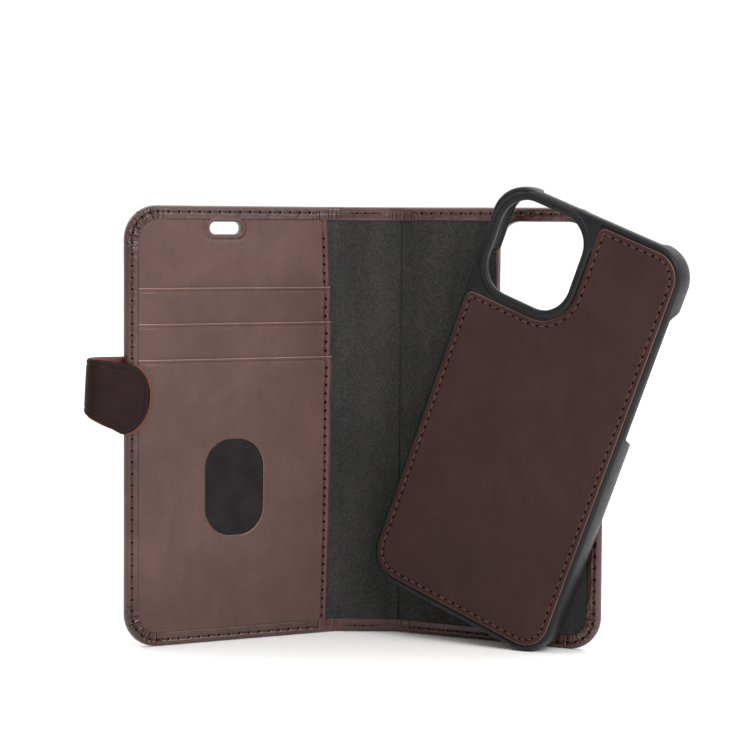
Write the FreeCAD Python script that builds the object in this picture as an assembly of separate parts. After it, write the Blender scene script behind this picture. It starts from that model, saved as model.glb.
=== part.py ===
import FreeCAD, Part
import math
import os

# A folding leather phone wallet, standing open on its bottom edges, with its magnetic phone shell
# taken off and standing in front of the back cover. Millimetres, +Z up. The origin is the middle of
# the back cover's bottom edge: the back cover runs along X with its inside facing -Y.
# q is a depth measured from each panel's inner face, positive towards the inside of the wallet.

V = FreeCAD.Vector

# ---------------------------------------------------------------- driving dimensions
HEIGHT = 154.0               # height of the open wallet
COVER_W = 82.2               # width of each cover from its fold corner
SPINE_W = 23.3               # width of the spine between its fold corners
CORNER_R = 10.0              # free corners of the covers
BACK_BEND = 30.0             # how far the spine turns from the back cover at rest, degrees
FRONT_BEND = 31.5            # how far the front cover turns from the spine at rest, degrees
BACK_CREASE = 2.7            # crease line from the fold corner, back cover side
FRONT_CREASE = 2.4           # crease line from the fold corner, front cover side

ORIGIN_S = 42.0              # origin from the back cover's fold corner
ORIGIN_Q = -1.2              # origin's depth, in the middle of the bottom edge

Q_OUT = -2.9                 # outer face of the leather
Q_BOARD = -1.7               # outer face of the board
Q_LINING = -0.5              # inner face of the board
Q_PIVOT = -1.2               # depth of the crease pivots
Q_LIP = 0.4                  # inner face of the turned-over edge, spine and back cover
Q_FRONT_LIP = 1.0            # the same on the front cover, which holds the pocket panels
EDGE_WALL = 1.0              # leather round the board's edge
SIDE_LIP = 5.2               # width of the turned-over edge at the free sides
END_LIP = 4.4                # width of the turned-over edge at top and bottom
FOLD_OUT = -2.0              # outer face of the thin leather in a fold
FOLD_MID = -0.9              # between leather and lining in a fold

COVER_BEND = 20.0            # most that a cover-side crease bends either way from flat, degrees
SPINE_BEND = 70.0            # most that a spine-side crease bends either way from flat, degrees
CREASE_GAP = 0.08            # clearance of a solid at a pivot line

SLOT_TOPS = (125.3, 112.8, 100.3)   # heights of the three pocket mouths
PANEL_T = 0.7                # pocket leather thickness
PANEL_Q = -0.1               # outer face of the pocket panels
SLOT_STEP = 0.9              # how far a pocket's mouth stands in front of the panel above
SLOT_TUCK = 4.0              # how far a panel is tucked under the next one
SLOT_GAP = 0.15              # extra thickness of a pocket's mouth, turned back on itself
SLOPE = 14.0                 # height over which the main panel falls back to the cover

EAR_S, EAR_Z, EAR_W, EAR_H = 43.6, 146.2, 12.8, 4.4          # earpiece slot
WINDOW_S, WINDOW_Z, WINDOW_W, WINDOW_H = 39.8, 54.5, 23.2, 34.2   # thumb window
WINDOW_R = 10.2
CAM_S, CAM_Z, CAM_W, CAM_H, CAM_R = 59.0, 130.0, 36.0, 38.0, 8.5  # camera opening, back cover

STRAP_T = 1.8                # two leathers sewn together
STRAP_LOW, STRAP_HIGH = 84.5, 102.2       # strap band, low and high edge
STRAP_ROOT = 60.0            # where the strap's sewn root begins on the front cover
STRAP_PIVOT = 84.0           # fold of the band beside the cover's edge
STRAP_TURN = 93.1            # centre of the strap's turn
TAB_Q = 1.9                  # near face of the folded tab over the cover
TAB_END = 71.7               # rounded end of the tab
TAB_LOW, TAB_HIGH = 75.6, 101.6           # flared part of the tab
TAB_FLARE = 3.5              # how far the tab has flared where it leaves the turn
TURN_GAP = 0.02              # band and tab end this far before the turn

SHELL_S, SHELL_Q, SHELL_Z = 58.4, 14.0, 80.6   # centre of the shell's back face
SHELL_TURN = 21.3            # how far the shell is turned in its own plane, degrees
SHELL_W, SHELL_H, SHELL_R = 75.6, 150.8, 12.1  # widest outline of the shell
PHONE_W, PHONE_H, PHONE_R = 71.9, 147.1, 9.8   # space for the phone
SHELL_FLOOR = 1.8            # depth of the shell's floor from its back face
SHELL_LIP = 9.2              # depth where the front lip begins
SHELL_DEPTH = 9.85
PHONE_OPEN = 1.0             # how far the front lip reaches over the phone
PANEL_HW, PANEL_HH, PANEL_R = 36.2, 73.0, 9.5  # half sizes of the leather back panel
LEATHER_IN = 0.7             # depth of the recess for the leather panel
HOLE_X, HOLE_Z, HOLE_W, HOLE_H, HOLE_R = -16.5, 54.7, 33.6, 34.1, 10.5   # shell camera opening
RING_T, RING_UP = 2.0, 0.8
LOW_WALL = 3.0               # depth left where the shell's wall is lowered

LOW_RIGHT, LOW_LEFT = (9.5, 52.5), (18.0, 46.0)      # heights of the lowered side walls
LOW_TOP, LOW_BOTTOM = (-23.0, 25.0), (-24.0, 24.0)   # and where the end walls are lowered
LOW_SLOPE = 4.0              # length of a lowered wall's sloping ends
PLATE_T = 0.4
STEEL_PLATES = ((-26, 26, -46, -14), (8, 30, 14, 56))   # in the shell, under its leather
CLASP_S0, CLASP_S1, CLASP_DOWN, CLASP_H = 66, 78, 18, 14   # plate that the strap's magnet holds
MAGNETS = ((18, 42), (62, 42), (18, 92), (62, 92))      # centres of the docking magnets
MAGNET_HW, MAGNET_HH, MAGNET_T = 8, 5, 0.7

STITCH_L, STITCH_W, STITCH_UP = 2.6, 0.55, 0.28
STITCH_PITCH = 4.0
STITCH_IN = 2.3              # stitch line from the free edge
SHELL_PITCH, SHELL_STITCH_IN = 3.2, 2.2
STRAP_PITCH, STRAP_STITCH_IN = 3.4, 2.0
POCKET_PITCH, POCKET_STITCH_S = 3.1, 5.4

PARTS = {}


# ---------------------------------------------------------------- frames in plan
def rotated(angle):
    return V(math.cos(math.radians(angle)), math.sin(math.radians(angle)), 0)


SPINE_ANGLE = 180 + BACK_BEND
FRONT_ANGLE = SPINE_ANGLE + FRONT_BEND
BACK_FOLD_ANGLE = 180 + BACK_BEND / 2
FRONT_FOLD_ANGLE = SPINE_ANGLE + FRONT_BEND / 2

BACK_CORNER = V(-ORIGIN_S, ORIGIN_Q, 0)
FRONT_CORNER = BACK_CORNER + rotated(SPINE_ANGLE) * SPINE_W
R1 = BACK_CORNER + V(BACK_CREASE, 0, 0)
R2 = BACK_CORNER + rotated(SPINE_ANGLE) * BACK_CREASE
L2 = BACK_CORNER + rotated(SPINE_ANGLE) * (SPINE_W - FRONT_CREASE)
L1 = FRONT_CORNER + rotated(FRONT_ANGLE) * FRONT_CREASE
BACK_FOLD_L = (R2 - R1).Length
FRONT_FOLD_L = (L1 - L2).Length
BACK_SHIFT = -Q_PIVOT * math.tan(math.radians(BACK_BEND / 4))
FRONT_SHIFT = -Q_PIVOT * math.tan(math.radians(FRONT_BEND / 4))


class Panel:
    """A flat part of the wallet: along is X of its own frame, and q points along +Y or -Y."""

    def __init__(self, corner, angle, inward):
        self.place = FreeCAD.Placement(corner, FreeCAD.Rotation(V(0, 0, 1), angle))
        self.inward = inward

    def y(self, q):
        return self.inward * q

    def put(self, shape):
        done = shape.copy()
        done.Placement = self.place.multiply(shape.Placement)
        return done


BACK = Panel(BACK_CORNER, 0, -1)
BACK_FOLD = Panel(R1, BACK_FOLD_ANGLE, 1)
SPINE = Panel(BACK_CORNER, SPINE_ANGLE, 1)
FRONT_FOLD = Panel(L2, FRONT_FOLD_ANGLE, 1)
FRONT = Panel(FRONT_CORNER, FRONT_ANGLE, 1)


# ---------------------------------------------------------------- flat shapes
def outline(x0, x1, z0, z1, radii):
    """A rectangle in XZ with its own radius at each corner: low-left, low-right, up-right, up-left."""
    corners = ((x0, z0), (x1, z0), (x1, z1), (x0, z1))
    steps = ((1, 0), (0, 1), (-1, 0), (0, -1))
    edges = []
    last = None
    first = None
    for k in range(4):
        (cx, cz), r = corners[k], radii[k]
        into, out = steps[k - 1], steps[k]
        a = V(cx - into[0] * r, 0, cz - into[1] * r)
        b = V(cx + out[0] * r, 0, cz + out[1] * r)
        if last is not None and (a - last).Length > 1e-6:
            edges.append(Part.makeLine(last, a))
        if r > 0:
            inner = V(cx - into[0] * r + out[0] * r, 0, cz - into[1] * r + out[1] * r)
            towards = V(cx, 0, cz) - inner
            edges.append(Part.Arc(a, inner + towards.normalize() * r, b).toShape())
        first = first or a
        last = b
    if (first - last).Length > 1e-6:
        edges.append(Part.makeLine(last, first))
    return Part.Wire(edges)


def plate(panel, x0, x1, z0, z1, q0, q1, radii=(0, 0, 0, 0)):
    """A prism of a rounded rectangle between two depths."""
    low, high = sorted((panel.y(q0), panel.y(q1)))
    face = Part.Face(outline(x0, x1, z0, z1, radii))
    face.translate(V(0, low, 0))
    return face.extrude(V(0, high - low, 0))


def prism_plan(points, z0, z1):
    """A prism of a polygon in plan."""
    wire = Part.makePolygon([V(x, y, z0) for x, y in points + points[:1]])
    return Part.Face(wire).extrude(V(0, 0, z1 - z0))


def profile_along(panel, x0, x1, points):
    """A sheet with one profile of (q, z) points all along a panel."""
    wire = Part.makePolygon([V(x0, panel.y(q), z) for q, z in points + points[:1]])
    return Part.Face(wire).extrude(V(x1 - x0, 0, 0))


def crease_cut(panel, pivot, side, bend):
    """What a panel must leave free beside a crease so that the next panel can bend either way."""
    reach = 12.0
    slope = math.tan(math.radians(bend / 2 + 0.7))
    tip = pivot + side * CREASE_GAP
    y = panel.y(Q_PIVOT)
    points = [(tip, y), (tip + side * reach * slope, y + reach), (tip - side * reach, y + reach),
              (tip - side * reach, y - reach), (tip + side * reach * slope, y - reach)]
    return prism_plan(points, -1.0, HEIGHT + 1.0)


def keep(name, panel, shape):
    solids = shape.Solids
    PARTS[name] = panel.put(solids[0] if len(solids) == 1 else Part.makeCompound(solids))


BACK_CUT = crease_cut(BACK, BACK_CREASE - BACK_SHIFT, 1, COVER_BEND)
BACK_FOLD_CUTS = [crease_cut(BACK_FOLD, -BACK_SHIFT, 1, COVER_BEND),
                  crease_cut(BACK_FOLD, BACK_FOLD_L + BACK_SHIFT, -1, SPINE_BEND)]
SPINE_CUTS = [crease_cut(SPINE, BACK_CREASE - BACK_SHIFT, 1, SPINE_BEND),
              crease_cut(SPINE, SPINE_W - FRONT_CREASE + FRONT_SHIFT, -1, SPINE_BEND)]
FRONT_FOLD_CUTS = [crease_cut(FRONT_FOLD, -FRONT_SHIFT, 1, SPINE_BEND),
                   crease_cut(FRONT_FOLD, FRONT_FOLD_L + FRONT_SHIFT, -1, COVER_BEND)]
FRONT_CUT = crease_cut(FRONT, FRONT_CREASE - FRONT_SHIFT, 1, COVER_BEND)


def without(shape, tools):
    for tool in tools:
        shape = shape.cut(tool)
    return shape


def slot_hole(panel, s, z, width, height, radius):
    """A rounded opening right through a cover."""
    r = (radius,) * 4
    return plate(panel, s - width / 2, s + width / 2, z - height / 2, z + height / 2, -12, 12, r)


EAR_HOLE = slot_hole(FRONT, EAR_S, EAR_Z, EAR_W, EAR_H, EAR_H / 2 - 0.01)
WINDOW_HOLE = slot_hole(FRONT, WINDOW_S, WINDOW_Z, WINDOW_W, WINDOW_H, WINDOW_R)
CAM_HOLE = slot_hole(BACK, CAM_S, CAM_Z, CAM_W, CAM_H, CAM_R)
CAM_RIM = slot_hole(BACK, CAM_S, CAM_Z, CAM_W + 2 * EDGE_WALL, CAM_H + 2 * EDGE_WALL,
                    CAM_R + EDGE_WALL)


# ---------------------------------------------------------------- covers, spine and folds
def cover_shell(panel, lip_q, cut):
    """The outer leather of a cover, turned round the board's free edges onto the inside."""
    free = (0, CORNER_R, CORNER_R, 0)
    inner = (0, CORNER_R - EDGE_WALL, CORNER_R - EDGE_WALL, 0)
    opening = (0, CORNER_R - SIDE_LIP, CORNER_R - SIDE_LIP, 0)
    block = plate(panel, 0, COVER_W, 0, HEIGHT, Q_OUT, lip_q, free)
    board = plate(panel, -1, COVER_W - EDGE_WALL, EDGE_WALL, HEIGHT - EDGE_WALL, Q_BOARD, Q_LINING,
                  inner)
    mouth = plate(panel, -1, COVER_W - SIDE_LIP, END_LIP, HEIGHT - END_LIP, Q_LINING, lip_q + 1,
                  opening)
    return without(block, [board, mouth, cut])


def cover_board(panel, cut):
    inner = (0, CORNER_R - EDGE_WALL, CORNER_R - EDGE_WALL, 0)
    board = plate(panel, 0, COVER_W - EDGE_WALL, EDGE_WALL, HEIGHT - EDGE_WALL, Q_BOARD, Q_LINING,
                  inner)
    return board.cut(cut)


def cover_sheet(panel, q0, q1, cut):
    """A sheet that lies inside the turned-over edges."""
    r = CORNER_R - SIDE_LIP
    sheet = plate(panel, 0, COVER_W - SIDE_LIP, END_LIP, HEIGHT - END_LIP, q0, q1, (0, r, r, 0))
    return sheet.cut(cut)


def narrow_leather(panel, length, out, mid, cuts):
    """The leather of the spine or of a fold, with the turned-over edge at top and bottom."""
    start, end = -2, length + 2
    sheet = plate(panel, start, end, 0, HEIGHT, out, mid)
    for z0, z1 in ((0, END_LIP), (HEIGHT - END_LIP, HEIGHT)):
        sheet = sheet.fuse(plate(panel, start, end, z0, z1, mid, Q_LIP))
    return without(sheet.removeSplitter(), cuts)


def back_cover():
    leather = cover_shell(BACK, Q_LIP, BACK_CUT)
    leather = leather.fuse(CAM_RIM.common(cover_board(BACK, BACK_CUT))).removeSplitter()
    keep("back_cover_leather", BACK, leather.cut(CAM_HOLE))
    board = cover_board(BACK, BACK_CUT).cut(CAM_RIM)
    magnets = []
    for s, z in MAGNETS:
        magnets.append(plate(BACK, s - MAGNET_HW, s + MAGNET_HW, z - MAGNET_HH, z + MAGNET_HH,
                             Q_LINING - MAGNET_T, Q_LINING, (2,) * 4))
    low = STRAP_LOW - CLASP_DOWN
    clasp = plate(BACK, CLASP_S0, CLASP_S1, low, low + CLASP_H, Q_BOARD, Q_BOARD + PLATE_T, (1,) * 4)
    keep("back_cover_board", BACK, without(board, magnets + [clasp]))
    keep("docking_magnets", BACK, Part.makeCompound(magnets))
    keep("clasp_plate", BACK, clasp)
    keep("back_cover_lining", BACK, cover_sheet(BACK, Q_LINING, 0, BACK_CUT).cut(CAM_HOLE))
    keep("back_fold_leather", BACK_FOLD,
         narrow_leather(BACK_FOLD, BACK_FOLD_L, FOLD_OUT, FOLD_MID, BACK_FOLD_CUTS))
    keep("back_fold_lining", BACK_FOLD,
         without(plate(BACK_FOLD, -2, BACK_FOLD_L + 2, END_LIP, HEIGHT - END_LIP, FOLD_MID, -0.4),
                 BACK_FOLD_CUTS))


def spine():
    keep("spine_leather", SPINE,
         without(plate(SPINE, 0, SPINE_W, 0, HEIGHT, Q_OUT, Q_LIP), SPINE_CUTS +
                 [plate(SPINE, 0, SPINE_W, EDGE_WALL, HEIGHT - EDGE_WALL, Q_BOARD, Q_LINING),
                  plate(SPINE, 0, SPINE_W, END_LIP, HEIGHT - END_LIP, Q_LINING, Q_LIP + 1)]))
    keep("spine_board", SPINE,
         without(plate(SPINE, 0, SPINE_W, EDGE_WALL, HEIGHT - EDGE_WALL, Q_BOARD, Q_LINING),
                 SPINE_CUTS))
    keep("spine_lining", SPINE,
         without(plate(SPINE, 0, SPINE_W, END_LIP, HEIGHT - END_LIP, Q_LINING, 0), SPINE_CUTS))
    keep("front_fold_leather", FRONT_FOLD,
         narrow_leather(FRONT_FOLD, FRONT_FOLD_L, FOLD_OUT, FOLD_MID, FRONT_FOLD_CUTS))
    keep("front_fold_lining", FRONT_FOLD,
         without(plate(FRONT_FOLD, -2, FRONT_FOLD_L + 2, END_LIP, HEIGHT - END_LIP, FOLD_MID, -0.4),
                 FRONT_FOLD_CUTS))


def front_cover():
    leather = cover_shell(FRONT, Q_FRONT_LIP, FRONT_CUT)
    keep("front_cover_leather", FRONT, leather.cut(EAR_HOLE))
    keep("front_cover_board", FRONT, cover_board(FRONT, FRONT_CUT).cut(EAR_HOLE))
    liner = cover_sheet(FRONT, Q_LINING, PANEL_Q, FRONT_CUT)
    keep("pocket_liner", FRONT, liner.cut(EAR_HOLE))


def pocket_panels():
    """Four leather panels laid like shingles, each mouth standing in front of the panel above."""
    inside = cover_sheet(FRONT, PANEL_Q, Q_FRONT_LIP + 3, FRONT_CUT)
    q0, q1 = PANEL_Q, PANEL_Q + PANEL_T
    top = HEIGHT - END_LIP
    tops = SLOT_TOPS
    panel = profile_along(FRONT, 0, COVER_W, [(q0, tops[0] - SLOT_TUCK), (q1, tops[0] - SLOT_TUCK),
                                              (q1, top), (q0, top)])
    panel = panel.common(inside).cut(EAR_HOLE)
    keep("pocket_top_panel", FRONT, panel)
    up = SLOT_STEP
    for k in range(2):
        high, low = tops[k], tops[k + 1] - SLOT_TUCK
        knee = tops[k + 1] + 0.3
        shingle = profile_along(FRONT, 0, COVER_W, [(q0, low), (q1, low), (q1, knee),
                                                    (q1 + up, high - SLOT_TUCK), (q1 + up, high),
                                                    (q0 + up - SLOT_GAP, high),
                                                    (q0 + up - SLOT_GAP, high - SLOT_TUCK),
                                                    (q0, knee)])
        keep("card_slot_panel_%d" % (k + 1), FRONT, shingle.common(inside))
    high = tops[2]
    main = profile_along(FRONT, 0, COVER_W, [(q0, END_LIP), (q1, END_LIP), (q1, high - SLOPE),
                                             (q1 + up, high - SLOT_TUCK), (q1 + up, high),
                                             (q0 + up - SLOT_GAP, high),
                                             (q0 + up - SLOT_GAP, high - SLOT_TUCK),
                                             (q0, high - SLOPE)])
    keep("main_pocket_panel", FRONT, main.common(inside).cut(WINDOW_HOLE))
    keep("earpiece_slot_rim", FRONT, ear_rim(q1))


def ear_rim(q):
    """The pressed rim round the earpiece slot."""
    wide = 1.3
    rim = plate(FRONT, EAR_S - EAR_W / 2 - wide, EAR_S + EAR_W / 2 + wide, EAR_Z - EAR_H / 2 - wide,
                EAR_Z + EAR_H / 2 + wide * 0.8, q, q + 0.25, (EAR_H / 2 + wide - 0.3,) * 4)
    return rim.cut(EAR_HOLE)


# ---------------------------------------------------------------- strap
def strap():
    mid = STRAP_T / 2
    far, near = Q_OUT - STRAP_T, Q_OUT
    r = (STRAP_HIGH - STRAP_LOW) / 2 - 0.01
    layers = (("outer", far, far + mid), ("inner", far + mid, near))
    slope = (near - far + 0.1)
    bevel = [(STRAP_PIVOT + 0.05, FRONT.y(far + mid)), (STRAP_PIVOT + slope, FRONT.y(near + 0.1)),
             (STRAP_PIVOT - slope, FRONT.y(near + 0.1)), (STRAP_PIVOT - 0.05, FRONT.y(far + mid)),
             (STRAP_PIVOT - 0.05, FRONT.y(far - 0.1)), (STRAP_PIVOT + 0.05, FRONT.y(far - 0.1))]
    cut = prism_plan(bevel, STRAP_LOW - 1, STRAP_HIGH + 1)
    for layer, q0, q1 in layers:
        root = plate(FRONT, STRAP_ROOT, STRAP_PIVOT, STRAP_LOW, STRAP_HIGH, q0, q1, (r, 0, 0, r))
        keep("strap_root_%s_leather" % layer, FRONT, root.cut(cut))
        end = STRAP_TURN - TURN_GAP
        band = plate(FRONT, STRAP_PIVOT, end, STRAP_LOW, STRAP_HIGH, q0, q1)
        keep("strap_band_%s_leather" % layer, FRONT, band.cut(cut))
    turn_q = (Q_OUT + TAB_Q) / 2
    inner_r = (TAB_Q - Q_OUT) / 2
    for layer, r0, r1 in (("outer", inner_r + mid, inner_r + STRAP_T), ("inner", inner_r, inner_r + mid)):
        centre = V(STRAP_TURN, FRONT.y(turn_q), STRAP_LOW)
        ring = Part.makeCylinder(r1, STRAP_HIGH - STRAP_LOW, centre)
        ring = ring.cut(Part.makeCylinder(r0, STRAP_HIGH - STRAP_LOW, centre))
        side = Part.makeBox(12, 24, 40, V(STRAP_TURN, FRONT.y(turn_q) - 12, STRAP_LOW - 10))
        keep("strap_turn_%s_leather" % layer, FRONT, ring.common(side))
    for layer, q0, q1 in (("inner", TAB_Q, TAB_Q + mid), ("outer", TAB_Q + mid, TAB_Q + STRAP_T)):
        tab = tab_plate(q0, q1)
        if layer == "inner":
            magnet = tab_magnet()
            keep("tab_magnet", FRONT, magnet)
            tab = tab.cut(magnet)
        keep("strap_tab_%s_leather" % layer, FRONT, tab)


def tab_plate(q0, q1):
    """The folded tab: it leaves the turn at the band's width and flares to its round end."""
    y0, y1 = sorted((FRONT.y(q0), FRONT.y(q1)))
    r = (TAB_HIGH - TAB_LOW) / 2
    middle = (TAB_HIGH + TAB_LOW) / 2
    centre = TAB_END + r
    top, bottom = V(centre, y0, TAB_HIGH), V(centre, y0, TAB_LOW)
    near = STRAP_TURN - TURN_GAP
    start, end = V(near, y0, STRAP_HIGH), V(near, y0, STRAP_LOW - TAB_FLARE)
    tip = Part.Arc(top, V(TAB_END, y0, middle), bottom).toShape()
    edges = [Part.makeLine(start, top), tip, Part.makeLine(bottom, end), Part.makeLine(end, start)]
    return Part.Face(Part.Wire(edges)).extrude(V(0, y1 - y0, 0))


def tab_magnet():
    z = (TAB_LOW + TAB_HIGH) / 2
    q = TAB_Q + STRAP_T / 2
    return plate(FRONT, TAB_END + 3.5, TAB_END + 12.5, z - 5, z + 5, q - 0.6, q, (1.5,) * 4)


# ---------------------------------------------------------------- shell
class ShellFrame:
    """The shell's own frame: X across, Z up its length, Y from its leather back to its mouth."""
    place = FreeCAD.Placement(BACK_CORNER + V(SHELL_S, -SHELL_Q, SHELL_Z),
                              FreeCAD.Rotation(V(0, 1, 0), SHELL_TURN))
    inward = 1

    @classmethod
    def y(cls, depth):
        return depth

    @classmethod
    def put(cls, shape):
        done = shape.copy()
        done.Placement = cls.place.multiply(shape.Placement)
        return done


def centred(half_w, half_h, radius, d0, d1):
    return plate(ShellFrame, -half_w, half_w, -half_h, half_h, d0, d1, (radius,) * 4)


def shell_section(depth, inset):
    hw, hh, r = SHELL_W / 2 - inset, SHELL_H / 2 - inset, SHELL_R - inset
    wire = outline(-hw, hw, -hh, hh, (r,) * 4)
    wire.translate(V(0, depth, 0))
    return wire


def lowered(x0, x1, z0, z1, along_x):
    """What is cut away where a side wall is lowered, with sloping ends."""
    slope = LOW_SLOPE
    top = SHELL_DEPTH + 1
    if along_x:
        points = [V(x0, LOW_WALL, z0), V(x1, LOW_WALL, z0), V(x1 + slope, top, z0),
                  V(x0 - slope, top, z0)]
        wire = Part.makePolygon(points + points[:1])
        return Part.Face(wire).extrude(V(0, 0, z1 - z0))
    points = [V(x0, LOW_WALL, z0), V(x0, LOW_WALL, z1), V(x0, top, z1 + slope), V(x0, top, z0 - slope)]
    wire = Part.makePolygon(points + points[:1])
    return Part.Face(wire).extrude(V(x1 - x0, 0, 0))


def hole_plate(grow, d0, d1):
    """The camera opening's outline, grown by a margin, as a prism."""
    hw, hh = HOLE_W / 2 + grow, HOLE_H / 2 + grow
    r = (HOLE_R + grow,) * 4
    return plate(ShellFrame, HOLE_X - hw, HOLE_X + hw, HOLE_Z - hh, HOLE_Z + hh, d0, d1, r)


def leather_outline(d0, d1, inset=0.0):
    """The leather panel, notched round the camera ring."""
    hw, hh, r = PANEL_HW - inset, PANEL_HH - inset, PANEL_R - inset
    panel = centred(hw, hh, r, d0, d1)
    grow = RING_T + 0.7 + inset
    right, low = HOLE_X + HOLE_W / 2 + grow, HOLE_Z - HOLE_H / 2 - grow
    notch = plate(ShellFrame, -60, right, low, 100, d0 - 1, d1 + 1, (0, HOLE_R + grow, 0, 0))
    return panel.cut(notch)


def shell():
    wires = [shell_section(0, 1.1), shell_section(0.9, 0.15), shell_section(2.0, 0.0),
             shell_section(4.6, 0.05), shell_section(8.3, 0.75), shell_section(SHELL_DEPTH, 1.5)]
    body = Part.makeLoft(wires, True, True)
    body = body.fuse(hole_plate(RING_T, -RING_UP, 1.0))
    body = body.cut(centred(PHONE_W / 2, PHONE_H / 2, PHONE_R, SHELL_FLOOR, SHELL_LIP))
    body = body.cut(centred(PHONE_W / 2 - PHONE_OPEN, PHONE_H / 2 - PHONE_OPEN, PHONE_R - PHONE_OPEN,
                            SHELL_LIP - 1, SHELL_DEPTH + 1))
    body = body.cut(hole_plate(0, -2, SHELL_FLOOR + 1))
    body = body.cut(leather_outline(-1, LEATHER_IN).cut(hole_plate(RING_T, -2, 2)))
    half_w, half_h = PHONE_W / 2, PHONE_H / 2
    body = body.cut(lowered(half_w - 2, half_w + 6, *LOW_RIGHT, False))
    body = body.cut(lowered(-half_w - 6, -half_w + 2, *LOW_LEFT, False))
    body = body.cut(lowered(*LOW_TOP, half_h - 2, half_h + 6, True))
    body = body.cut(lowered(*LOW_BOTTOM, -half_h - 6, -half_h + 2, True))
    plates = []
    for x0, x1, z0, z1 in STEEL_PLATES:
        plates.append(plate(ShellFrame, x0, x1, z0, z1, LEATHER_IN, LEATHER_IN + PLATE_T, (3,) * 4))
    keep("shell_tray", ShellFrame, without(body, plates))
    keep("shell_steel_plates", ShellFrame, Part.makeCompound(plates))
    keep("shell_leather_panel", ShellFrame, leather_outline(-0.1, LEATHER_IN))
    lining = centred(PHONE_W / 2 - 0.4, PHONE_H / 2 - 0.4, PHONE_R - 0.4, SHELL_FLOOR,
                     SHELL_FLOOR + 0.3)
    keep("shell_lining", ShellFrame, lining.cut(hole_plate(0.5, -2, 4)))


# ---------------------------------------------------------------- stitching
def stitches(panel, wire, pitch, q0, q1, keep_if=None):
    """Short raised stitches along a wire in the XZ plane, between two depths."""
    count = int(wire.Length / pitch)
    low, high = sorted((panel.y(q0), panel.y(q1)))
    done = []
    for point in wire.discretize(Distance=wire.Length / count):
        if keep_if and not keep_if(point):
            continue
        done.append(point)
    solids = []
    for here in done:
        ahead = tangent_at(wire, here)
        angle = math.degrees(math.atan2(ahead.z, ahead.x))
        box = Part.makeBox(STITCH_L, high - low, STITCH_W, V(-STITCH_L / 2, 0, -STITCH_W / 2))
        box.Placement = FreeCAD.Placement(V(here.x, low, here.z), FreeCAD.Rotation(V(0, 1, 0), -angle))
        solids.append(box)
    return Part.makeCompound(solids)


def tangent_at(wire, point):
    """The direction of a wire at a point that lies on it."""
    for edge in wire.Edges:
        if edge.distToShape(Part.Vertex(point))[0] < 1e-4:
            return edge.tangentAt(edge.Curve.parameter(point))
    return V(1, 0, 0)


def open_line(points):
    return Part.makePolygon([V(x, 0, z) for x, z in points])


def cover_stitch_wire(fold):
    """The line of the perimeter stitches: along the top, round the free side and back."""
    i, r = STITCH_IN, CORNER_R - STITCH_IN
    x, low, high = COVER_W - i, i, HEIGHT - i
    k = r * math.sqrt(0.5)
    up = Part.Arc(V(x - r, 0, high), V(x - r + k, 0, high - r + k), V(x, 0, high - r)).toShape()
    down = Part.Arc(V(x, 0, low + r), V(x - r + k, 0, low + r - k), V(x - r, 0, low)).toShape()
    return Part.Wire([Part.makeLine(V(fold, 0, high), V(x - r, 0, high)), up,
                      Part.makeLine(V(x, 0, high - r), V(x, 0, low + r)), down,
                      Part.makeLine(V(x - r, 0, low), V(fold, 0, low))])


def stitching():
    keep("back_cover_stitching", BACK,
         stitches(BACK, cover_stitch_wire(BACK_CREASE + 3), STITCH_PITCH, Q_LIP, Q_LIP + STITCH_UP))
    strap_low, strap_high = TAB_LOW - 1, STRAP_HIGH + 1
    keep("front_cover_stitching", FRONT,
         stitches(FRONT, cover_stitch_wire(FRONT_CREASE + 3), STITCH_PITCH, Q_FRONT_LIP,
                  Q_FRONT_LIP + STITCH_UP, lambda p: not strap_low < p.z < strap_high or p.x < 70))
    low, high = END_LIP + 2, HEIGHT - END_LIP - 2
    line = open_line([(POCKET_STITCH_S, low), (POCKET_STITCH_S, high)])
    q = PANEL_Q + PANEL_T
    flat = lambda p: p.z > SLOT_TOPS[0] + 2 or p.z < SLOT_TOPS[2] - SLOPE - 1
    keep("pocket_edge_stitching", FRONT,
         stitches(FRONT, line, POCKET_PITCH, q, q + STITCH_UP, flat))
    ends = []
    for z in (STITCH_IN, HEIGHT - STITCH_IN):
        line = open_line([(5.6, z), (SPINE_W - 5.2, z)])
        ends += stitches(SPINE, line, STITCH_PITCH, Q_LIP, Q_LIP + STITCH_UP).Solids
    keep("spine_end_stitching", SPINE, Part.makeCompound(ends))
    middle = plate(ShellFrame, -60, 60, -90, 90, 0.5, 0.6)
    loop = leather_outline(0, 1, SHELL_STITCH_IN).section(middle)
    wire = Part.Wire(Part.__sortEdges__([e for e in loop.Edges if abs(e.BoundBox.YMin - 0.5) < 0.01]))
    wire.translate(V(0, -0.5, 0))
    keep("shell_stitching", ShellFrame, stitches(ShellFrame, wire, SHELL_PITCH, -0.1 - STITCH_UP, -0.1))
    far = Q_OUT - STRAP_T
    rows = []
    for z in (STRAP_LOW + STRAP_STITCH_IN, STRAP_HIGH - STRAP_STITCH_IN):
        line = open_line([(STRAP_ROOT + 8, z), (STRAP_PIVOT - 3, z)])
        rows += stitches(FRONT, line, STRAP_PITCH, far - STITCH_UP, far).Solids
    keep("strap_root_stitching", FRONT, Part.makeCompound(rows))
    tab_stitching()


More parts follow.
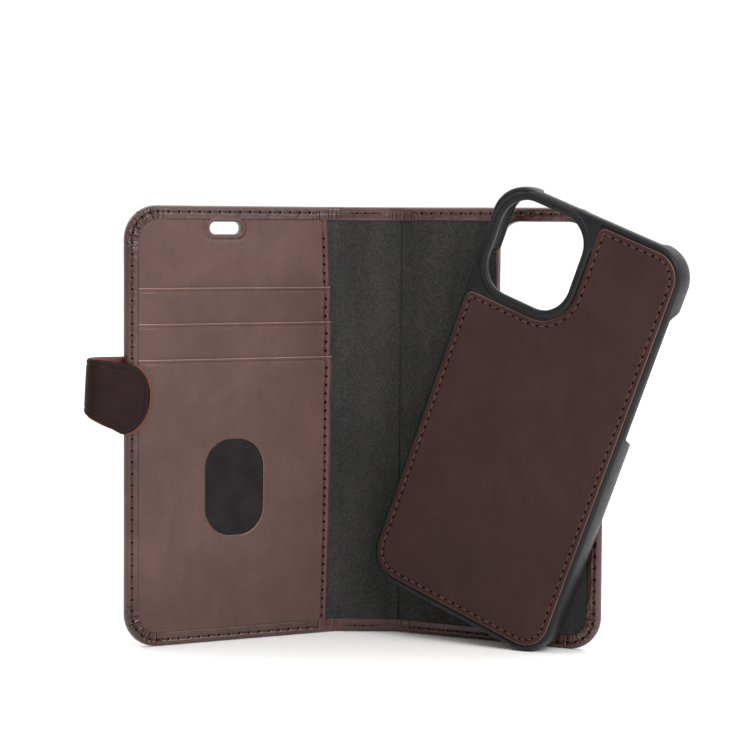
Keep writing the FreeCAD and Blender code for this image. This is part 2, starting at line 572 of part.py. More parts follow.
def tab_stitching():
    """The stitches along the folded tab's two edges and round its end."""
    q = TAB_Q + STRAP_T
    inset = STRAP_STITCH_IN
    r = (TAB_HIGH - TAB_LOW) / 2
    start, centre, middle = STRAP_TURN - 2, TAB_END + r, (TAB_HIGH + TAB_LOW) / 2
    top, bottom = V(centre, 0, TAB_HIGH - inset), V(centre, 0, TAB_LOW + inset)
    tip = Part.Arc(top, V(TAB_END + inset, 0, middle), bottom).toShape()
    tab = Part.Wire([Part.makeLine(V(start, 0, STRAP_HIGH - inset), top), tip,
                     Part.makeLine(bottom, V(start, 0, STRAP_LOW - TAB_FLARE + inset))])
    keep("strap_tab_stitching", FRONT, stitches(FRONT, tab, STRAP_PITCH, q, q + STITCH_UP))


back_cover()
spine()
front_cover()
pocket_panels()
strap()
shell()
stitching()

os.makedirs("parts", exist_ok=True)
for name, shape in PARTS.items():
    shape.exportStep("parts/%s.step" % name)
    print(name, len(shape.Solids), round(shape.Volume, 1), shape.isValid())
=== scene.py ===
"""The looks of an open leather phone wallet and its magnetic shell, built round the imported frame."""
import math

import bmesh
import bpy
import numpy as np
from mathutils import Matrix, Vector
from mathutils.geometry import tessellate_polygon


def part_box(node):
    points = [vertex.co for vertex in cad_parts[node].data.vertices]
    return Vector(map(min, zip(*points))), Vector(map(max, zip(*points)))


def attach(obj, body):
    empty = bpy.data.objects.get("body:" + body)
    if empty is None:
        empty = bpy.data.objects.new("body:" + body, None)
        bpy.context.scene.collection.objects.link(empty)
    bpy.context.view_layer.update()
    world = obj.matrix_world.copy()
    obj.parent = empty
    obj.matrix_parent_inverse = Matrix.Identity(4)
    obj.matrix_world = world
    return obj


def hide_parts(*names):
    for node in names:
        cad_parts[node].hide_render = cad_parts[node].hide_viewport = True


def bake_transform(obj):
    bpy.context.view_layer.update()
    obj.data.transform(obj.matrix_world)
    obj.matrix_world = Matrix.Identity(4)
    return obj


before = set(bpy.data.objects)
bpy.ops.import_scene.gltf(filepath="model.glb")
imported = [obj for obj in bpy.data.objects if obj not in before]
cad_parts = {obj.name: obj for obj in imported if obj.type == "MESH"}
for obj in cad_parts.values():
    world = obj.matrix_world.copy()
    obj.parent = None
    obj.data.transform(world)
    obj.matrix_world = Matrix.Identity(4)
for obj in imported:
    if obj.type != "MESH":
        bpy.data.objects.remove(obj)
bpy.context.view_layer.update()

# ---------------------------------------------------------------- dimensions, millimetres
MM = 0.001
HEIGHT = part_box("spine_leather")[1].z / MM
COVER_W, SPINE_W, CORNER_R = 82.2, 23.3, 12.0
BACK_CREASE, FRONT_CREASE = 2.7, 2.4
Q_OUT, Q_PIVOT, Q_LIP, Q_FRONT_LIP = -2.9, -1.2, 0.4, 1.0
SIDE_LIP, END_LIP = 4.3, 4.4
EDGE_R = 1.3                 # roundness of the covers' leather edge
SKIN_START = 6.0             # where a cover's own leather begins, from the fold corner
BLEND_REACH = 2.3            # how far past its pivot a fold's leather still bends
SLOT_TOPS = (125.3, 112.8, 100.3)
POCKET_Q, SLOT_STEP, TUCK = 0.6, 0.9, 4.0
EAR_S, EAR_Z, EAR_W, EAR_H = 43.6, 146.2, 12.8, 4.4
WINDOW_S, WINDOW_Z, WINDOW_W, WINDOW_H, WINDOW_R = 39.8, 54.5, 23.2, 34.2, 10.2
CAM_S, CAM_Z, CAM_W, CAM_H, CAM_R = 59.0, 130.0, 36.0, 38.0, 8.5
STITCH_IN, COVER_PITCH, POCKET_PITCH, SHELL_PITCH, STRAP_PITCH = 2.2, 4.0, 3.1, 3.2, 3.0
SPINE_PITCH = 3.1            # of the stitches at the spine's ends
STRAP_ROOT, STRAP_PIVOT, STRAP_TURN, STRAP_Q = 60.0, 84.0, 92.5, -3.8
STRAP_LOW, STRAP_HIGH, TURN_R, LAYER = 84.5, 101.5, 3.3, 0.9
TAB_END, TAB_LOW, TAB_HIGH, TAB_FLARE, TAB_ROUND = 74.1, 75.0, 99.4, 5.2, 10.0
SHELL_W, SHELL_H, SHELL_R, SHELL_DEPTH, LOW_WALL = 75.6, 150.8, 12.1, 10.9, 3.0
PHONE_W, PHONE_H, PHONE_R = 71.9, 147.1, 9.8
PANEL_HW, PANEL_HH, PANEL_R = 36.2, 73.0, 9.5
HOLE_X, HOLE_Z, HOLE_W, HOLE_H, HOLE_R = -16.5, 54.7, 33.6, 34.1, 10.5
NOTCH_SIDE, NOTCH_LOW = 3.2, 3.7     # from the camera opening to the leather's notched edges
SHELL_STITCH_IN = 1.9
LOW_SIDES = {(1, 0): (9.5, 52.5), (-1, 0): (18.0, 46.0), (0, 1): (-23.0, 25.0), (0, -1): (-24.0, 24.0)}


class Place:
    """A flat part's own axes: s along it, q inwards from its inner face, z up its length."""

    def __init__(self, corner, angle=0.0, inward=1, tilt=0.0):
        turn = Matrix.Rotation(math.radians(angle), 3, "Z") @ Matrix.Rotation(math.radians(tilt), 3, "Y")
        self.corner = np.array(corner, float)
        self.s, q, self.z = (np.array(turn.col[k]) for k in range(3))
        self.q = q * inward

    def at(self, s, q, z):
        s, q, z = np.broadcast_arrays(*(np.asarray(v, float) for v in (s, q, z)))
        return (self.corner + s[..., None] * self.s + q[..., None] * self.q
                + z[..., None] * self.z) * MM

    def point(self, s, q, z):
        return Vector(self.at(s, q, z))


BACK_BEND, FRONT_BEND = 30.0, 31.5
CORNER = np.array([-42.0, -1.2, 0.0])
BACK = Place(CORNER, 0, -1)
SPINE = Place(CORNER, 180 + BACK_BEND)
FRONT_CORNER = CORNER + SPINE.s * SPINE_W
FRONT = Place(FRONT_CORNER, 180 + BACK_BEND + FRONT_BEND)
BACK_FOLD = Place(CORNER + BACK.s * BACK_CREASE, 180 + BACK_BEND / 2)
FRONT_FOLD = Place(FRONT_CORNER - SPINE.s * FRONT_CREASE, 180 + BACK_BEND + FRONT_BEND / 2)
BACK_FOLD_L = 2 * BACK_CREASE * math.cos(math.radians(BACK_BEND / 2))
FRONT_FOLD_L = 2 * FRONT_CREASE * math.cos(math.radians(FRONT_BEND / 2))
SHELL = Place(CORNER + np.array([58.4, -14.0, 80.6]), 0, 1, 21.3)


# ---------------------------------------------------------------- paths and meshes
class Path:
    """A line of straight runs and arcs in a part's own plane. The material lies on its right."""

    def __init__(self, start, heading, moves, closed=True, step=0.5):
        here, h = np.array(start, float), math.radians(heading)
        points, ways = [], []
        for length, turn in moves:
            angle = math.radians(turn)
            n = max(5, round(length * abs(angle) / step)) if turn else max(1, round(length / step))
            part = np.arange(n + 1) / n
            way = h + angle * part
            if turn:
                arc = np.stack([np.sin(way) - math.sin(h), math.cos(h) - np.cos(way)], 1)
                line = here + math.copysign(length, turn) * arc
            else:
                line = here + length * part[:, None] * np.array([math.cos(h), math.sin(h)])
            points.append(line[:-1])
            ways.append(way[:-1])
            here, h = line[-1], way[-1]
        if not closed:
            points.append([here])
            ways.append([h])
        self.closed = closed
        self.p, self.way = np.concatenate(points), np.concatenate(ways)
        self.n = np.stack([np.sin(self.way), -np.cos(self.way)], 1)
        gaps = np.linalg.norm(np.diff(self.p, axis=0, append=self.p[:1] if closed else self.p[-1:]), axis=1)
        self.length = gaps.sum()
        self.u = np.cumsum(gaps) - gaps


def rounded(x, z, w, h, r, hole=False, step=0.5):
    """A rounded rectangle round a centre, clockwise, or the other way for a hole's edge."""
    turn = 90 if hole else -90
    moves = [(w - 2 * r, 0), (r, turn), (h - 2 * r, 0), (r, turn)] * 2
    return Path((x - w / 2 + r, z - h / 2 if hole else z + h / 2), 0, moves, step=step)


class Build:
    """Collects grids and filled faces into one mesh."""

    def __init__(self):
        self.v, self.f, self.count = [], [], 0

    def grid(self, points, closed_u=False, closed_v=False):
        n, m = points.shape[:2]
        i, j = np.meshgrid(np.arange(n if closed_u else n - 1), np.arange(m if closed_v else m - 1),
                           indexing="ij")
        i2, j2 = (i + 1) % n, (j + 1) % m
        quads = np.stack([i * m + j, i2 * m + j, i2 * m + j2, i * m + j2], -1).reshape(-1, 4)
        self.f += (quads + self.count).tolist()
        self.v.append(points.reshape(-1, 3))
        self.count += n * m

    def fill(self, *loops):
        """Flat faces inside the first loop and outside the others."""
        faces = tessellate_polygon([[Vector(p) for p in loop] for loop in loops])
        self.f += [tuple(k + self.count for k in face) for face in faces]
        points = np.concatenate(loops)
        self.v.append(points)
        self.count += len(points)

    def band(self, place, path, inset, depth):
        """A profile of insets and depths swept along a path: the same all along, or one for each point."""
        x, z = (path.p[:, k, None] + path.n[:, k, None] * inset for k in (0, 1))
        points = place.at(x, depth, z)
        self.grid(points, closed_u=path.closed)
        return points

    def rim(self, place, path, rows):
        """A profile given as (inset, depth) rows, swept along a path."""
        return self.band(place, path, *np.array(rows, float).T)

    def plate(self, place, paths, profiles):
        """A closed flat piece whose edges each have their own profile."""
        rims = [self.rim(place, path, rows) for path, rows in zip(paths, profiles)]
        self.fill(*[r[:, 0] for r in rims])
        self.fill(*[r[:, -1] for r in rims])

    def sheet(self, front, back):
        """A closed sheet between two grids of points with the same shape."""
        ring = np.concatenate([front, back[:, ::-1]], axis=1)
        self.grid(ring, closed_v=True)
        for end in (0, -1):
            self.grid(np.stack([front[end], back[end]], 1))

    def finish(self, name, material, body=None, slot=None, stands=(), sharp=38.0):
        mesh = bpy.data.meshes.new(name)
        mesh.from_pydata(np.concatenate(self.v).tolist(), [], self.f)
        bm = bmesh.new()
        bm.from_mesh(mesh)
        bmesh.ops.remove_doubles(bm, verts=bm.verts, dist=2e-6)
        bmesh.ops.dissolve_degenerate(bm, edges=bm.edges, dist=1e-6)
        bmesh.ops.recalc_face_normals(bm, faces=bm.faces)
        bm.to_mesh(mesh)
        bm.free()
        mesh.materials.append(material)
        mesh.shade_smooth()
        mesh.set_sharp_from_angle(angle=math.radians(sharp))
        piece = bpy.data.objects.new(name, mesh)
        bpy.context.scene.collection.objects.link(piece)
        if body:
            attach(piece, body)
        if stands:
            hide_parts(*stands)
        return piece


def smooth(low, high, x):
    t = np.clip((np.asarray(x, float) - low) / (high - low), 0, 1)
    return t * t * (3 - 2 * t)


def bell(x, width):
    return np.exp(-(np.asarray(x, float) / width) ** 2)


def half_round(steps):
    """Angles of a half turn."""
    return np.linspace(0, math.pi, steps)


def seam(across, along, pitch, depth=0.16):
    """The dent of a sewn line: a groove, deeper at the needle holes, between low puckers."""
    holes = 0.5 + 0.5 * np.cos(2 * math.pi * along / pitch)
    groove = bell(across, 0.42) * (0.45 + 0.55 * holes ** 2)
    puff = bell(np.abs(across) - 0.95, 0.55) * (0.45 - 0.6 * holes)
    return depth * (0.6 * puff - groove)


def pleats(along, spacing, depth):
    """Narrow gathers in turned-over leather, a little uneven."""
    phase = along / spacing + 0.22 * np.sin(along * 1.3) + 0.12 * np.sin(along * 3.1)
    return -depth * (0.5 + 0.5 * np.cos(2 * math.pi * phase)) ** 3


def thread(build, place, points, ways, depth, length=2.5, width=0.62, height=0.30, lean=7.0):
    """Rounded stitches, sunk at their ends, at points of a part's plane and turned along ways."""
    a = np.linspace(-1, 1, 9)[:, None]
    r = np.sqrt(np.clip(1 - np.abs(a) ** 2.6, 0.0, 1))
    t = np.linspace(0, 2 * math.pi, 9)[None, :-1]
    along = a * length / 2 + 0 * t
    side = r * np.cos(t) * width / 2
    rise = r * np.sin(t) * height - 0.16 * a ** 4
    inward = 1 if depth[1] > 0 else -1
    for k, ((x, z), way) in enumerate(zip(points, ways)):
        w = way + math.radians(lean) * (1 if k % 2 else 0.6)
        c, s = math.cos(w), math.sin(w)
        shape = place.at(x + along * c - side * s, depth[0] + inward * rise, z + along * s + side * c)
        build.grid(shape, closed_v=True)


def pits(build, place, points, depth, radius=0.38):
    """Needle holes: small bowls let into the leather, coloured near-black as painted shade for the dark
    inside of each hole.
    """
    r = radius * np.array([1.0, 0.8, 0.45, 0.0])[:, None]
    sunk = np.array([0.09, 0.07, 0.15, 0.19])[:, None]
    t = np.linspace(0, 2 * math.pi, 9)[None, :-1]
    for x, z in points:
        shape = place.at(x + r * np.cos(t), depth[0] - depth[1] * sunk + 0 * t, z + r * np.sin(t))
        build.grid(shape, closed_v=True)


def stitch_places(path, inset, pitch, part=0.5):
    """Places and directions along a path, moved inwards: stitches' middles, or their holes at part 0."""
    count = max(1, round(path.length / pitch))
    u = (np.arange(count) + part) * path.length / count
    line = path.p + path.n * inset
    where = np.stack([np.interp(u, path.u, line[:, k]) for k in range(2)], 1)
    return where, np.interp(u, path.u, np.unwrap(path.way))


# ---------------------------------------------------------------- materials
def add_node(tree, kind, inputs, **settings):
    """A new node with its settings and its inputs, each a value or another node's output."""
    node = tree.nodes.new("ShaderNode" + kind)
    for key, value in settings.items():
        setattr(node, key, value)
    for key, value in inputs.items():
        if isinstance(value, bpy.types.NodeSocket):
            tree.links.new(value, node.inputs[key])
        else:
            node.inputs[key].default_value = value
    return node


class Nodes:
    """A material's node tree, with the object's own coordinates ready."""

    def __init__(self, name, roughness, specular=0.5):
        self.material = bpy.data.materials.new(name)
        self.material.use_nodes = True
        self.tree = self.material.node_tree
        self.shader = self.tree.nodes["Principled BSDF"]
        self.shader.inputs["Roughness"].default_value = roughness
        self.shader.inputs["Specular IOR Level"].default_value = specular
        self.where = add_node(self.tree, "TexCoord", {}).outputs["Object"]

    def mapped(self, rotation=(0, 0, 0), scale=(1, 1, 1), where=None):
        turn = [math.radians(v) for v in rotation]
        inputs = {"Rotation": turn, "Scale": scale, "Vector": where or self.where}
        return add_node(self.tree, "Mapping", inputs).outputs[0]

    def noise(self, scale, detail=4.0, rough=0.55, where=None, twist=0.0):
        inputs = {"Scale": scale, "Detail": detail, "Roughness": rough, "Distortion": twist,
                  "Vector": where or self.where}
        return add_node(self.tree, "TexNoise", inputs).outputs["Fac"]

    def cells(self, scale):
        inputs = {"Scale": scale, "Vector": self.where}
        return add_node(self.tree, "TexVoronoi", inputs, feature="DISTANCE_TO_EDGE").outputs["Distance"]

    def wave(self, scale, where, twist=0.0, direction="X"):
        inputs = {"Scale": scale, "Distortion": twist, "Vector": where}
        return add_node(self.tree, "TexWave", inputs, bands_direction=direction).outputs["Fac"]

    def ramp(self, value, stops):
        node = add_node(self.tree, "ValToRGB", {"Fac": value})
        marks = node.color_ramp.elements
        for mark, (position, colour) in zip(marks, (stops[0], stops[-1])):
            mark.position, mark.color = position, (*colour, 1)
        for position, colour in stops[1:-1]:
            marks.new(position).color = (*colour, 1)
        return node.outputs["Color"]

    def fitted(self, value, low, high, start=0.3, end=0.7):
        inputs = {"Value": value, "From Min": start, "From Max": end, "To Min": low, "To Max": high}
        return add_node(self.tree, "MapRange", inputs).outputs["Result"]

    def multiplied(self, amount, a, b):
        mix = {0: amount, 6: a, 7: b}
        return add_node(self.tree, "Mix", mix, data_type="RGBA", blend_type="MULTIPLY").outputs[2]

    def bump(self, *heights):
        """Bumps one over another: (height, strength, distance in millimetres)."""
        last = {}
        for height, strength, distance in heights:
            inputs = {"Strength": strength, "Distance": distance * MM, "Height": height, **last}
            last = {"Normal": add_node(self.tree, "Bump", inputs).outputs["Normal"]}
        self.shade(**last)

    def shade(self, **outputs):
        """Outputs to the shader's own inputs, named with _ for a space."""
        for key, output in outputs.items():
            self.tree.links.new(output, self.shader.inputs[key.replace("_", " ")])


def leather(name, deep, mid, pale, gloss, grain=0.5, waves=1.0, specular=0.5):
    """Smooth finished hide: clouded colour, a fine grain of cells and pores, soft waves."""
    n = Nodes(name, gloss, specular)
    clouds = n.noise(38, 6, 0.62, twist=0.6)
    base = n.ramp(clouds, [(0.30, deep), (0.5, mid), (0.72, pale)])
    specks = n.ramp(n.noise(1400, 3, 0.6), [(0.36, (0.72, 0.70, 0.69)), (0.60, (1.0, 1.0, 1.0))])
    streaks = n.ramp(n.noise(120, 5, 0.7, where=n.mapped(scale=(1, 1, 0.35))),
                     [(0.3, (0.86, 0.84, 0.83)), (0.7, (1.06, 1.06, 1.06))])
    n.shade(Base_Color=n.multiplied(0.8, n.multiplied(0.55, base, specks), streaks))
    n.shade(Roughness=n.fitted(n.noise(210, 5, 0.65), gloss - 0.06, gloss + 0.09))
    n.bump((n.noise(46, 3, 0.5), 0.55 * waves, 0.55), (n.noise(240, 3, 0.6), 0.5 * waves, 0.09),
           (n.cells(1250), 0.5 * grain, 0.07), (n.noise(3200, 2, 0.6), 0.45 * grain, 0.05))
    return n.material


def suede(name, deep, mid, pale):
    """Short-napped microfibre: cloudy, speckled and quite matt, with a faint sheen."""
    n = Nodes(name, 0.95, 0.12)
    brushed = n.noise(70, 5, 0.7, where=n.mapped(scale=(1, 1, 0.3)))
    base = n.ramp(brushed, [(0.28, deep), (0.5, mid), (0.75, pale)])
    specks = n.ramp(n.noise(1300, 4, 0.75), [(0.33, (0.35, 0.35, 0.36)), (0.66, (1.42, 1.41, 1.36))])
    n.shade(Base_Color=n.multiplied(0.75, base, specks))
    n.shader.inputs["Sheen Weight"].default_value = 0.05
    n.shader.inputs["Sheen Roughness"].default_value = 0.45
    n.bump((n.noise(90, 3, 0.5), 0.4, 0.25), (n.noise(1700, 4, 0.7), 0.9, 0.10))
    return n.material


def twill(name):
    """Black twill: fine diagonal ribs crossed by the weft."""
    n = Nodes(name, 0.85, 0.15)
    flat = n.mapped(rotation=(0, 0, -241.5))
    ribs = n.wave(400, n.mapped(rotation=(0, 38, 0), where=flat), 0.5)
    weft = n.wave(900, flat, 0.4, "Z")
    cloth = n.multiplied(0.5, n.ramp(ribs, [(0.25, (0.10, 0.10, 0.10)), (0.85, (1, 1, 1))]),
                         n.ramp(weft, [(0.1, (0.45, 0.45, 0.45)), (0.9, (1, 1, 1))]))
    base = n.ramp(n.noise(160, 4), [(0.3, (0.028, 0.024, 0.027)), (0.7, (0.048, 0.042, 0.046))])
    n.shade(Base_Color=n.multiplied(1.0, base, cloth))
    n.bump((ribs, 0.8, 0.16), (weft, 0.5, 0.06))
    return n.material


def fibre(name, deep, pale, specular=0.35):
    """Twisted waxed thread."""
    n = Nodes(name, 0.6, specular)
    n.shade(Base_Color=n.ramp(n.noise(900, 4, 0.7), [(0.3, deep), (0.7, pale)]))
    n.bump((n.wave(1900, n.mapped(rotation=(35, 20, 35)), 1.2), 0.7, 0.10))
    return n.material


def moulded(name, deep, pale, gloss):
    """Soft-touch moulded plastic with a very fine spark texture."""
    n = Nodes(name, gloss, 0.2)
    n.shade(Base_Color=n.ramp(n.noise(60, 4), [(0.3, deep), (0.7, pale)]),
            Roughness=n.fitted(n.noise(300, 4), gloss - 0.05, gloss + 0.07))
    n.bump((n.noise(2600, 3, 0.6), 0.35, 0.03), (n.noise(55, 2), 0.25, 0.15))
    return n.material


def plain_metal(name, deep, pale, gloss):
    """Thin metal sheet, lightly brushed."""
    n = Nodes(name, gloss)
    n.shader.inputs["Metallic"].default_value = 1.0
    streaks = n.noise(300, 5, 0.7, where=n.mapped(scale=(1, 1, 12)))
    n.shade(Base_Color=n.ramp(streaks, [(0.3, deep), (0.7, pale)]),
            Roughness=n.fitted(streaks, gloss, gloss + 0.15))
    n.bump((streaks, 0.2, 0.01))
    return n.material


HIDE = leather("outer_hide", (0.036, 0.0115, 0.0095), (0.060, 0.0210, 0.0175), (0.090, 0.035, 0.029), 0.31,
               specular=0.6)
POCKET_HIDE = leather("pocket_hide", (0.074, 0.033, 0.027), (0.089, 0.041, 0.034), (0.107, 0.052, 0.044),
                      0.35, waves=0.8, specular=0.40)
SHELL_HIDE = leather("shell_hide", (0.030, 0.0110, 0.0105), (0.037, 0.0140, 0.0132), (0.046, 0.018, 0.017),
                     0.50, waves=0.4, specular=0.22)
STRAP_HIDE = leather("strap_hide", (0.0115, 0.0040, 0.0038), (0.0150, 0.0053, 0.0050),
                     (0.020, 0.0074, 0.0070), 0.46, waves=0.4, specular=0.13)
BACKING = leather("strap_backing_hide", (0.090, 0.026, 0.018), (0.125, 0.040, 0.028), (0.160, 0.058, 0.042),
                  0.55, grain=0.8, specular=0.25)
SUEDE = suede("lining_nap", (0.024, 0.0235, 0.0235), (0.033, 0.0325, 0.0325), (0.044, 0.043, 0.043))
TWILL = twill("black_twill")
# partly the raw edge's own paler tone, partly a painted highlight of the bevelled edge catching the light
EDGE_TONE_AND_HIGHLIGHT = leather("raw_edge_and_painted_highlight", (0.085, 0.032, 0.022), (0.125, 0.050, 0.036), (0.17, 0.075, 0.056), 0.42,
                   waves=0.3)
# partly the edges' own paler tone, partly a painted highlight along the mouths' tops and the window's rim
POCKET_EDGE_AND_HIGHLIGHT = leather("pocket_edge_painted_highlight_hide", (0.19, 0.100, 0.082), (0.25, 0.140, 0.118), (0.31, 0.185, 0.160),
                      0.34, waves=0.3)
THREAD = fibre("brown_thread", (0.085, 0.028, 0.021), (0.165, 0.062, 0.047))
DARK_THREAD = fibre("dark_thread", (0.030, 0.011, 0.009), (0.075, 0.029, 0.024))
STRAP_THREAD = fibre("strap_thread", (0.014, 0.0055, 0.0048), (0.028, 0.011, 0.0095), 0.12)
# painted shade: a near-black colour for the needle-hole discs, standing in for the shade inside each hole
HOLE_SHADE = fibre("needle_hole_painted_shade", (0.0030, 0.0012, 0.0010), (0.0060, 0.0024, 0.0020), 0.04)
PLASTIC = moulded("soft_black_plastic", (0.0075, 0.0075, 0.0085), (0.0120, 0.0120, 0.0135), 0.40)
BOARD = suede("grey_board", (0.20, 0.18, 0.15), (0.28, 0.25, 0.21), (0.34, 0.31, 0.27))
STEEL = plain_metal("brushed_sheet", (0.42, 0.42, 0.43), (0.60, 0.60, 0.61), 0.32)
MAGNET = plain_metal("magnet_plating", (0.55, 0.55, 0.55), (0.72, 0.72, 0.71), 0.18)

for coat, node_names in ((BOARD, ("back_cover_board", "front_cover_board", "spine_board")),
                         (MAGNET, ("docking_magnets", "tab_magnet")),
                         (STEEL, ("clasp_plate", "shell_steel_plates"))):
    for node_name in node_names:
        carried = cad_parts[node_name].data.materials
        carried.clear()
        carried.append(coat)


# ---------------------------------------------------------------- covers
def edge_profile(path, q_lip):
    """A cover's edge from its outer face, round the board, to the turned-over lip inside."""
    width = END_LIP + (SIDE_LIP - END_LIP) * path.n[:, 0] ** 2
    width = width + 0.16 * near_corner(path) * (np.sin(path.u * 2.1) + np.sin(path.u * 3.7))
    outer = np.array([3.4, 3.1, 2.8, 2.55, 2.3, 2.05, 1.8, 1.55])
    turn = half_round(11)
    lip = np.linspace(0, 1, 20)
    n = len(path.p)
    inset = np.concatenate([np.tile(outer, (n, 1)), np.tile(EDGE_R * (1 - np.sin(turn)), (n, 1)),
                            EDGE_R + 0.1 + (width[:, None] - EDGE_R - 0.1) * lip,
                            width[:, None] + np.array([0.22, 0.36, 0.40, 0.40])], 1)
    mid, half = (q_lip + Q_OUT) / 2, (q_lip - Q_OUT) / 2
    depth = np.concatenate([np.full(8, Q_OUT), mid - half * np.cos(turn), np.full(20, q_lip),
                            q_lip - np.array([0.06, 0.20, 0.42, q_lip + 0.45])])
    return inset, depth, width


def near_corner(path):
    """How near each station is to a rounded corner, where the turned-over leather is gathered."""
    arc = math.pi / 2 * CORNER_R
    first = COVER_W - CORNER_R - SKIN_START + arc / 2
    off_corner = np.minimum(np.abs(path.u - first), np.abs(path.length - path.u - first)) - arc / 2
    return 1 - smooth(0.5, 5.0, off_corner)


def lip_dents(path, inset, depth, width, q_lip):
    """Stitch dents and gathers on the lip, and the same seam on the outer face."""
    u = path.u[:, None]
    pitch = path.length / round(path.length / COVER_PITCH)
    inside = (depth[None, :] > q_lip - 0.3) & (inset > EDGE_R)
    outside = depth[None, :] < Q_OUT + 0.01
    dent = np.where(inside, seam(inset - STITCH_IN, u, pitch, 0.38), 0)
    dent = dent - np.where(outside, seam(inset - STITCH_IN, u, pitch, 0.20), 0)
    corner = near_corner(path)[:, None]
    rolled = smooth((q_lip + Q_OUT) / 2, q_lip - 0.2, depth[None, :]) * (inset < width[:, None] + 0.1)
    near_fold = bell(u, 4.0) + bell(path.length - u, 4.0)
    reach = smooth(1.0, 2.6, inset) * inside
    dent = dent + corner * rolled * pleats(u, 1.5, 0.40)
    dent = dent + near_fold * reach * pleats(u, 1.2, 0.25)
    dent = dent + inside * 0.10 * np.sin(u * 0.55 + 1.0) * bell(inset - 3.4, 0.9)
    return dent


def cover_path():
    run = COVER_W - CORNER_R - SKIN_START
    moves = [(run, 0), (CORNER_R, -90), (HEIGHT - 2 * CORNER_R, 0), (CORNER_R, -90), (run, 0)]
    return Path((SKIN_START, HEIGHT), 0, moves, closed=False, step=0.36)


OPENING = [(1.5, Q_OUT), (1.0, Q_OUT)]     # how the outer leather turns into an opening
OPENING += [(0.9 * (1 - math.sin(t)), Q_OUT + 0.9 * (1 - math.cos(t))) for t in half_round(7)[1:4]]


def sewn_through(name, place, spots, ways, holes, q_lip, lean=7.0, radius=0.38):
    """Stitches and needle holes on both faces of a cover or of the spine."""
    stitched, pierced = Build(), Build()
    thread(stitched, place, spots, ways, (q_lip - 0.13, 1), lean=lean)
    thread(stitched, place, spots, ways, (Q_OUT + 0.06, -1), height=0.22)
    pits(pierced, place, holes, (q_lip, 1), radius)
    pits(pierced, place, holes, (Q_OUT, -1))
    node = name + ("_end_stitching" if name == "spine" else "_stitching")
    stitched.finish(name + "_thread", DARK_THREAD, name, "thread", [node])
    pierced.finish(name + "_needle_holes", HOLE_SHADE, name, "thread")


def cover(name, place, q_lip, hole, rows):
    path = cover_path()
    inset, depth, width = edge_profile(path, q_lip)
    dent = lip_dents(path, inset, depth, width, q_lip)
    build = Build()
    edge = build.band(place, path, inset, depth[None, :] + dent)
    build.fill(edge[:, 0], build.rim(place, hole, rows)[:, 0])
    build.finish(name + "_skin", HIDE, name, "outer_leather", [name + "_leather"])
    spots, ways = stitch_places(path, STITCH_IN, COVER_PITCH)
    holes = stitch_places(path, STITCH_IN, COVER_PITCH, 0.0)[0][1:]
    sewn_through(name, place, spots, ways, holes, q_lip, -6, 0.42)


cover("back_cover", BACK, Q_LIP, rounded(CAM_S, CAM_Z, CAM_W, CAM_H, CAM_R, hole=True),
      OPENING + [(0, -0.4), (0.08, -0.1), (0.3, 0.1), (0.55, 0.06), (0.62, -0.4)])
EAR = rounded(EAR_S, EAR_Z, EAR_W, EAR_H, EAR_H / 2 - 0.05, hole=True, step=0.25)
cover("front_cover", FRONT, Q_FRONT_LIP, EAR, OPENING + [(0, -0.5)])


# ---------------------------------------------------------------- folds and spine
def curve_through(points, count):
    """A smooth line through points, evenly divided between them."""
    p = np.array(points, float)
    ends = np.concatenate([[2 * p[0] - p[1]], p, [2 * p[-1] - p[-2]]])
    t = np.linspace(0, len(p) - 1, count)
    k = np.minimum(t.astype(int), len(p) - 2)
    f = (t - k)[:, None]
    a, b, c, d = ends[k], ends[k + 1], ends[k + 2], ends[k + 3]
    return 0.5 * (2 * b + (c - a) * f + (2 * a - 5 * b + 4 * c - d) * f ** 2
                  + (3 * b - a - 3 * c + d) * f ** 3)


def stations(rows):
    """Three smooth lines in plan, from rows of (place, s, outer depth, lip depth, lining depth)."""
    count = 6 * (len(rows) - 1) + 1
    return [curve_through([place.at(s, depths[k], 0.0) for place, s, *depths in rows], count)
            for k in range(3)]


def strip_skin(build, outer, lip, gathered):
    """Leather along a strip of stations, turned over its top and bottom edges onto the inside."""
    turn = half_round(9)
    low = EDGE_R * (1 - np.sin(turn))
    end = np.concatenate([[END_LIP + 0.40, END_LIP + 0.34, END_LIP], np.linspace(END_LIP - 0.4, EDGE_R, 8),
                          low[1:-1]])
    z = np.concatenate([end, np.linspace(EDGE_R, HEIGHT - EDGE_R, 14), (HEIGHT - end)[::-1]])
    over = np.concatenate([[0.86, 0.97, 1], np.ones(8), (1 + np.cos(turn[1:-1])) / 2])
    mix = np.concatenate([over, np.zeros(14), over[::-1]])
    steps = np.linalg.norm(np.diff(outer, axis=0), axis=1) / MM
    u = np.concatenate([[0], np.cumsum(steps)])[:, None]
    away = np.minimum(z, HEIGHT - z)
    gather = gathered * pleats(u + 0.4, 1.25, 0.12) * (mix > 0.9) * smooth(0.8, 2.4, away)
    groove = -0.07 * bell(away - STITCH_IN, 0.4) * (mix > 0.99)
    mix = mix + gather + groove
    points = outer[:, None] * (1 - mix[..., None]) + lip[:, None] * mix[..., None]
    points[..., 2] = z * MM
    build.grid(points)


def strip_lining(build, line, below):
    """Lining along a strip of stations, tucked under the turned-over edges."""
    z = np.linspace(END_LIP - 0.3, HEIGHT - END_LIP + 0.3, 30) * MM
    front = np.repeat(line[:, None], len(z), 1)
    back = np.repeat(below[:, None], len(z), 1)
    front[..., 2] = z
    back[..., 2] = z
    build.sheet(front, back)


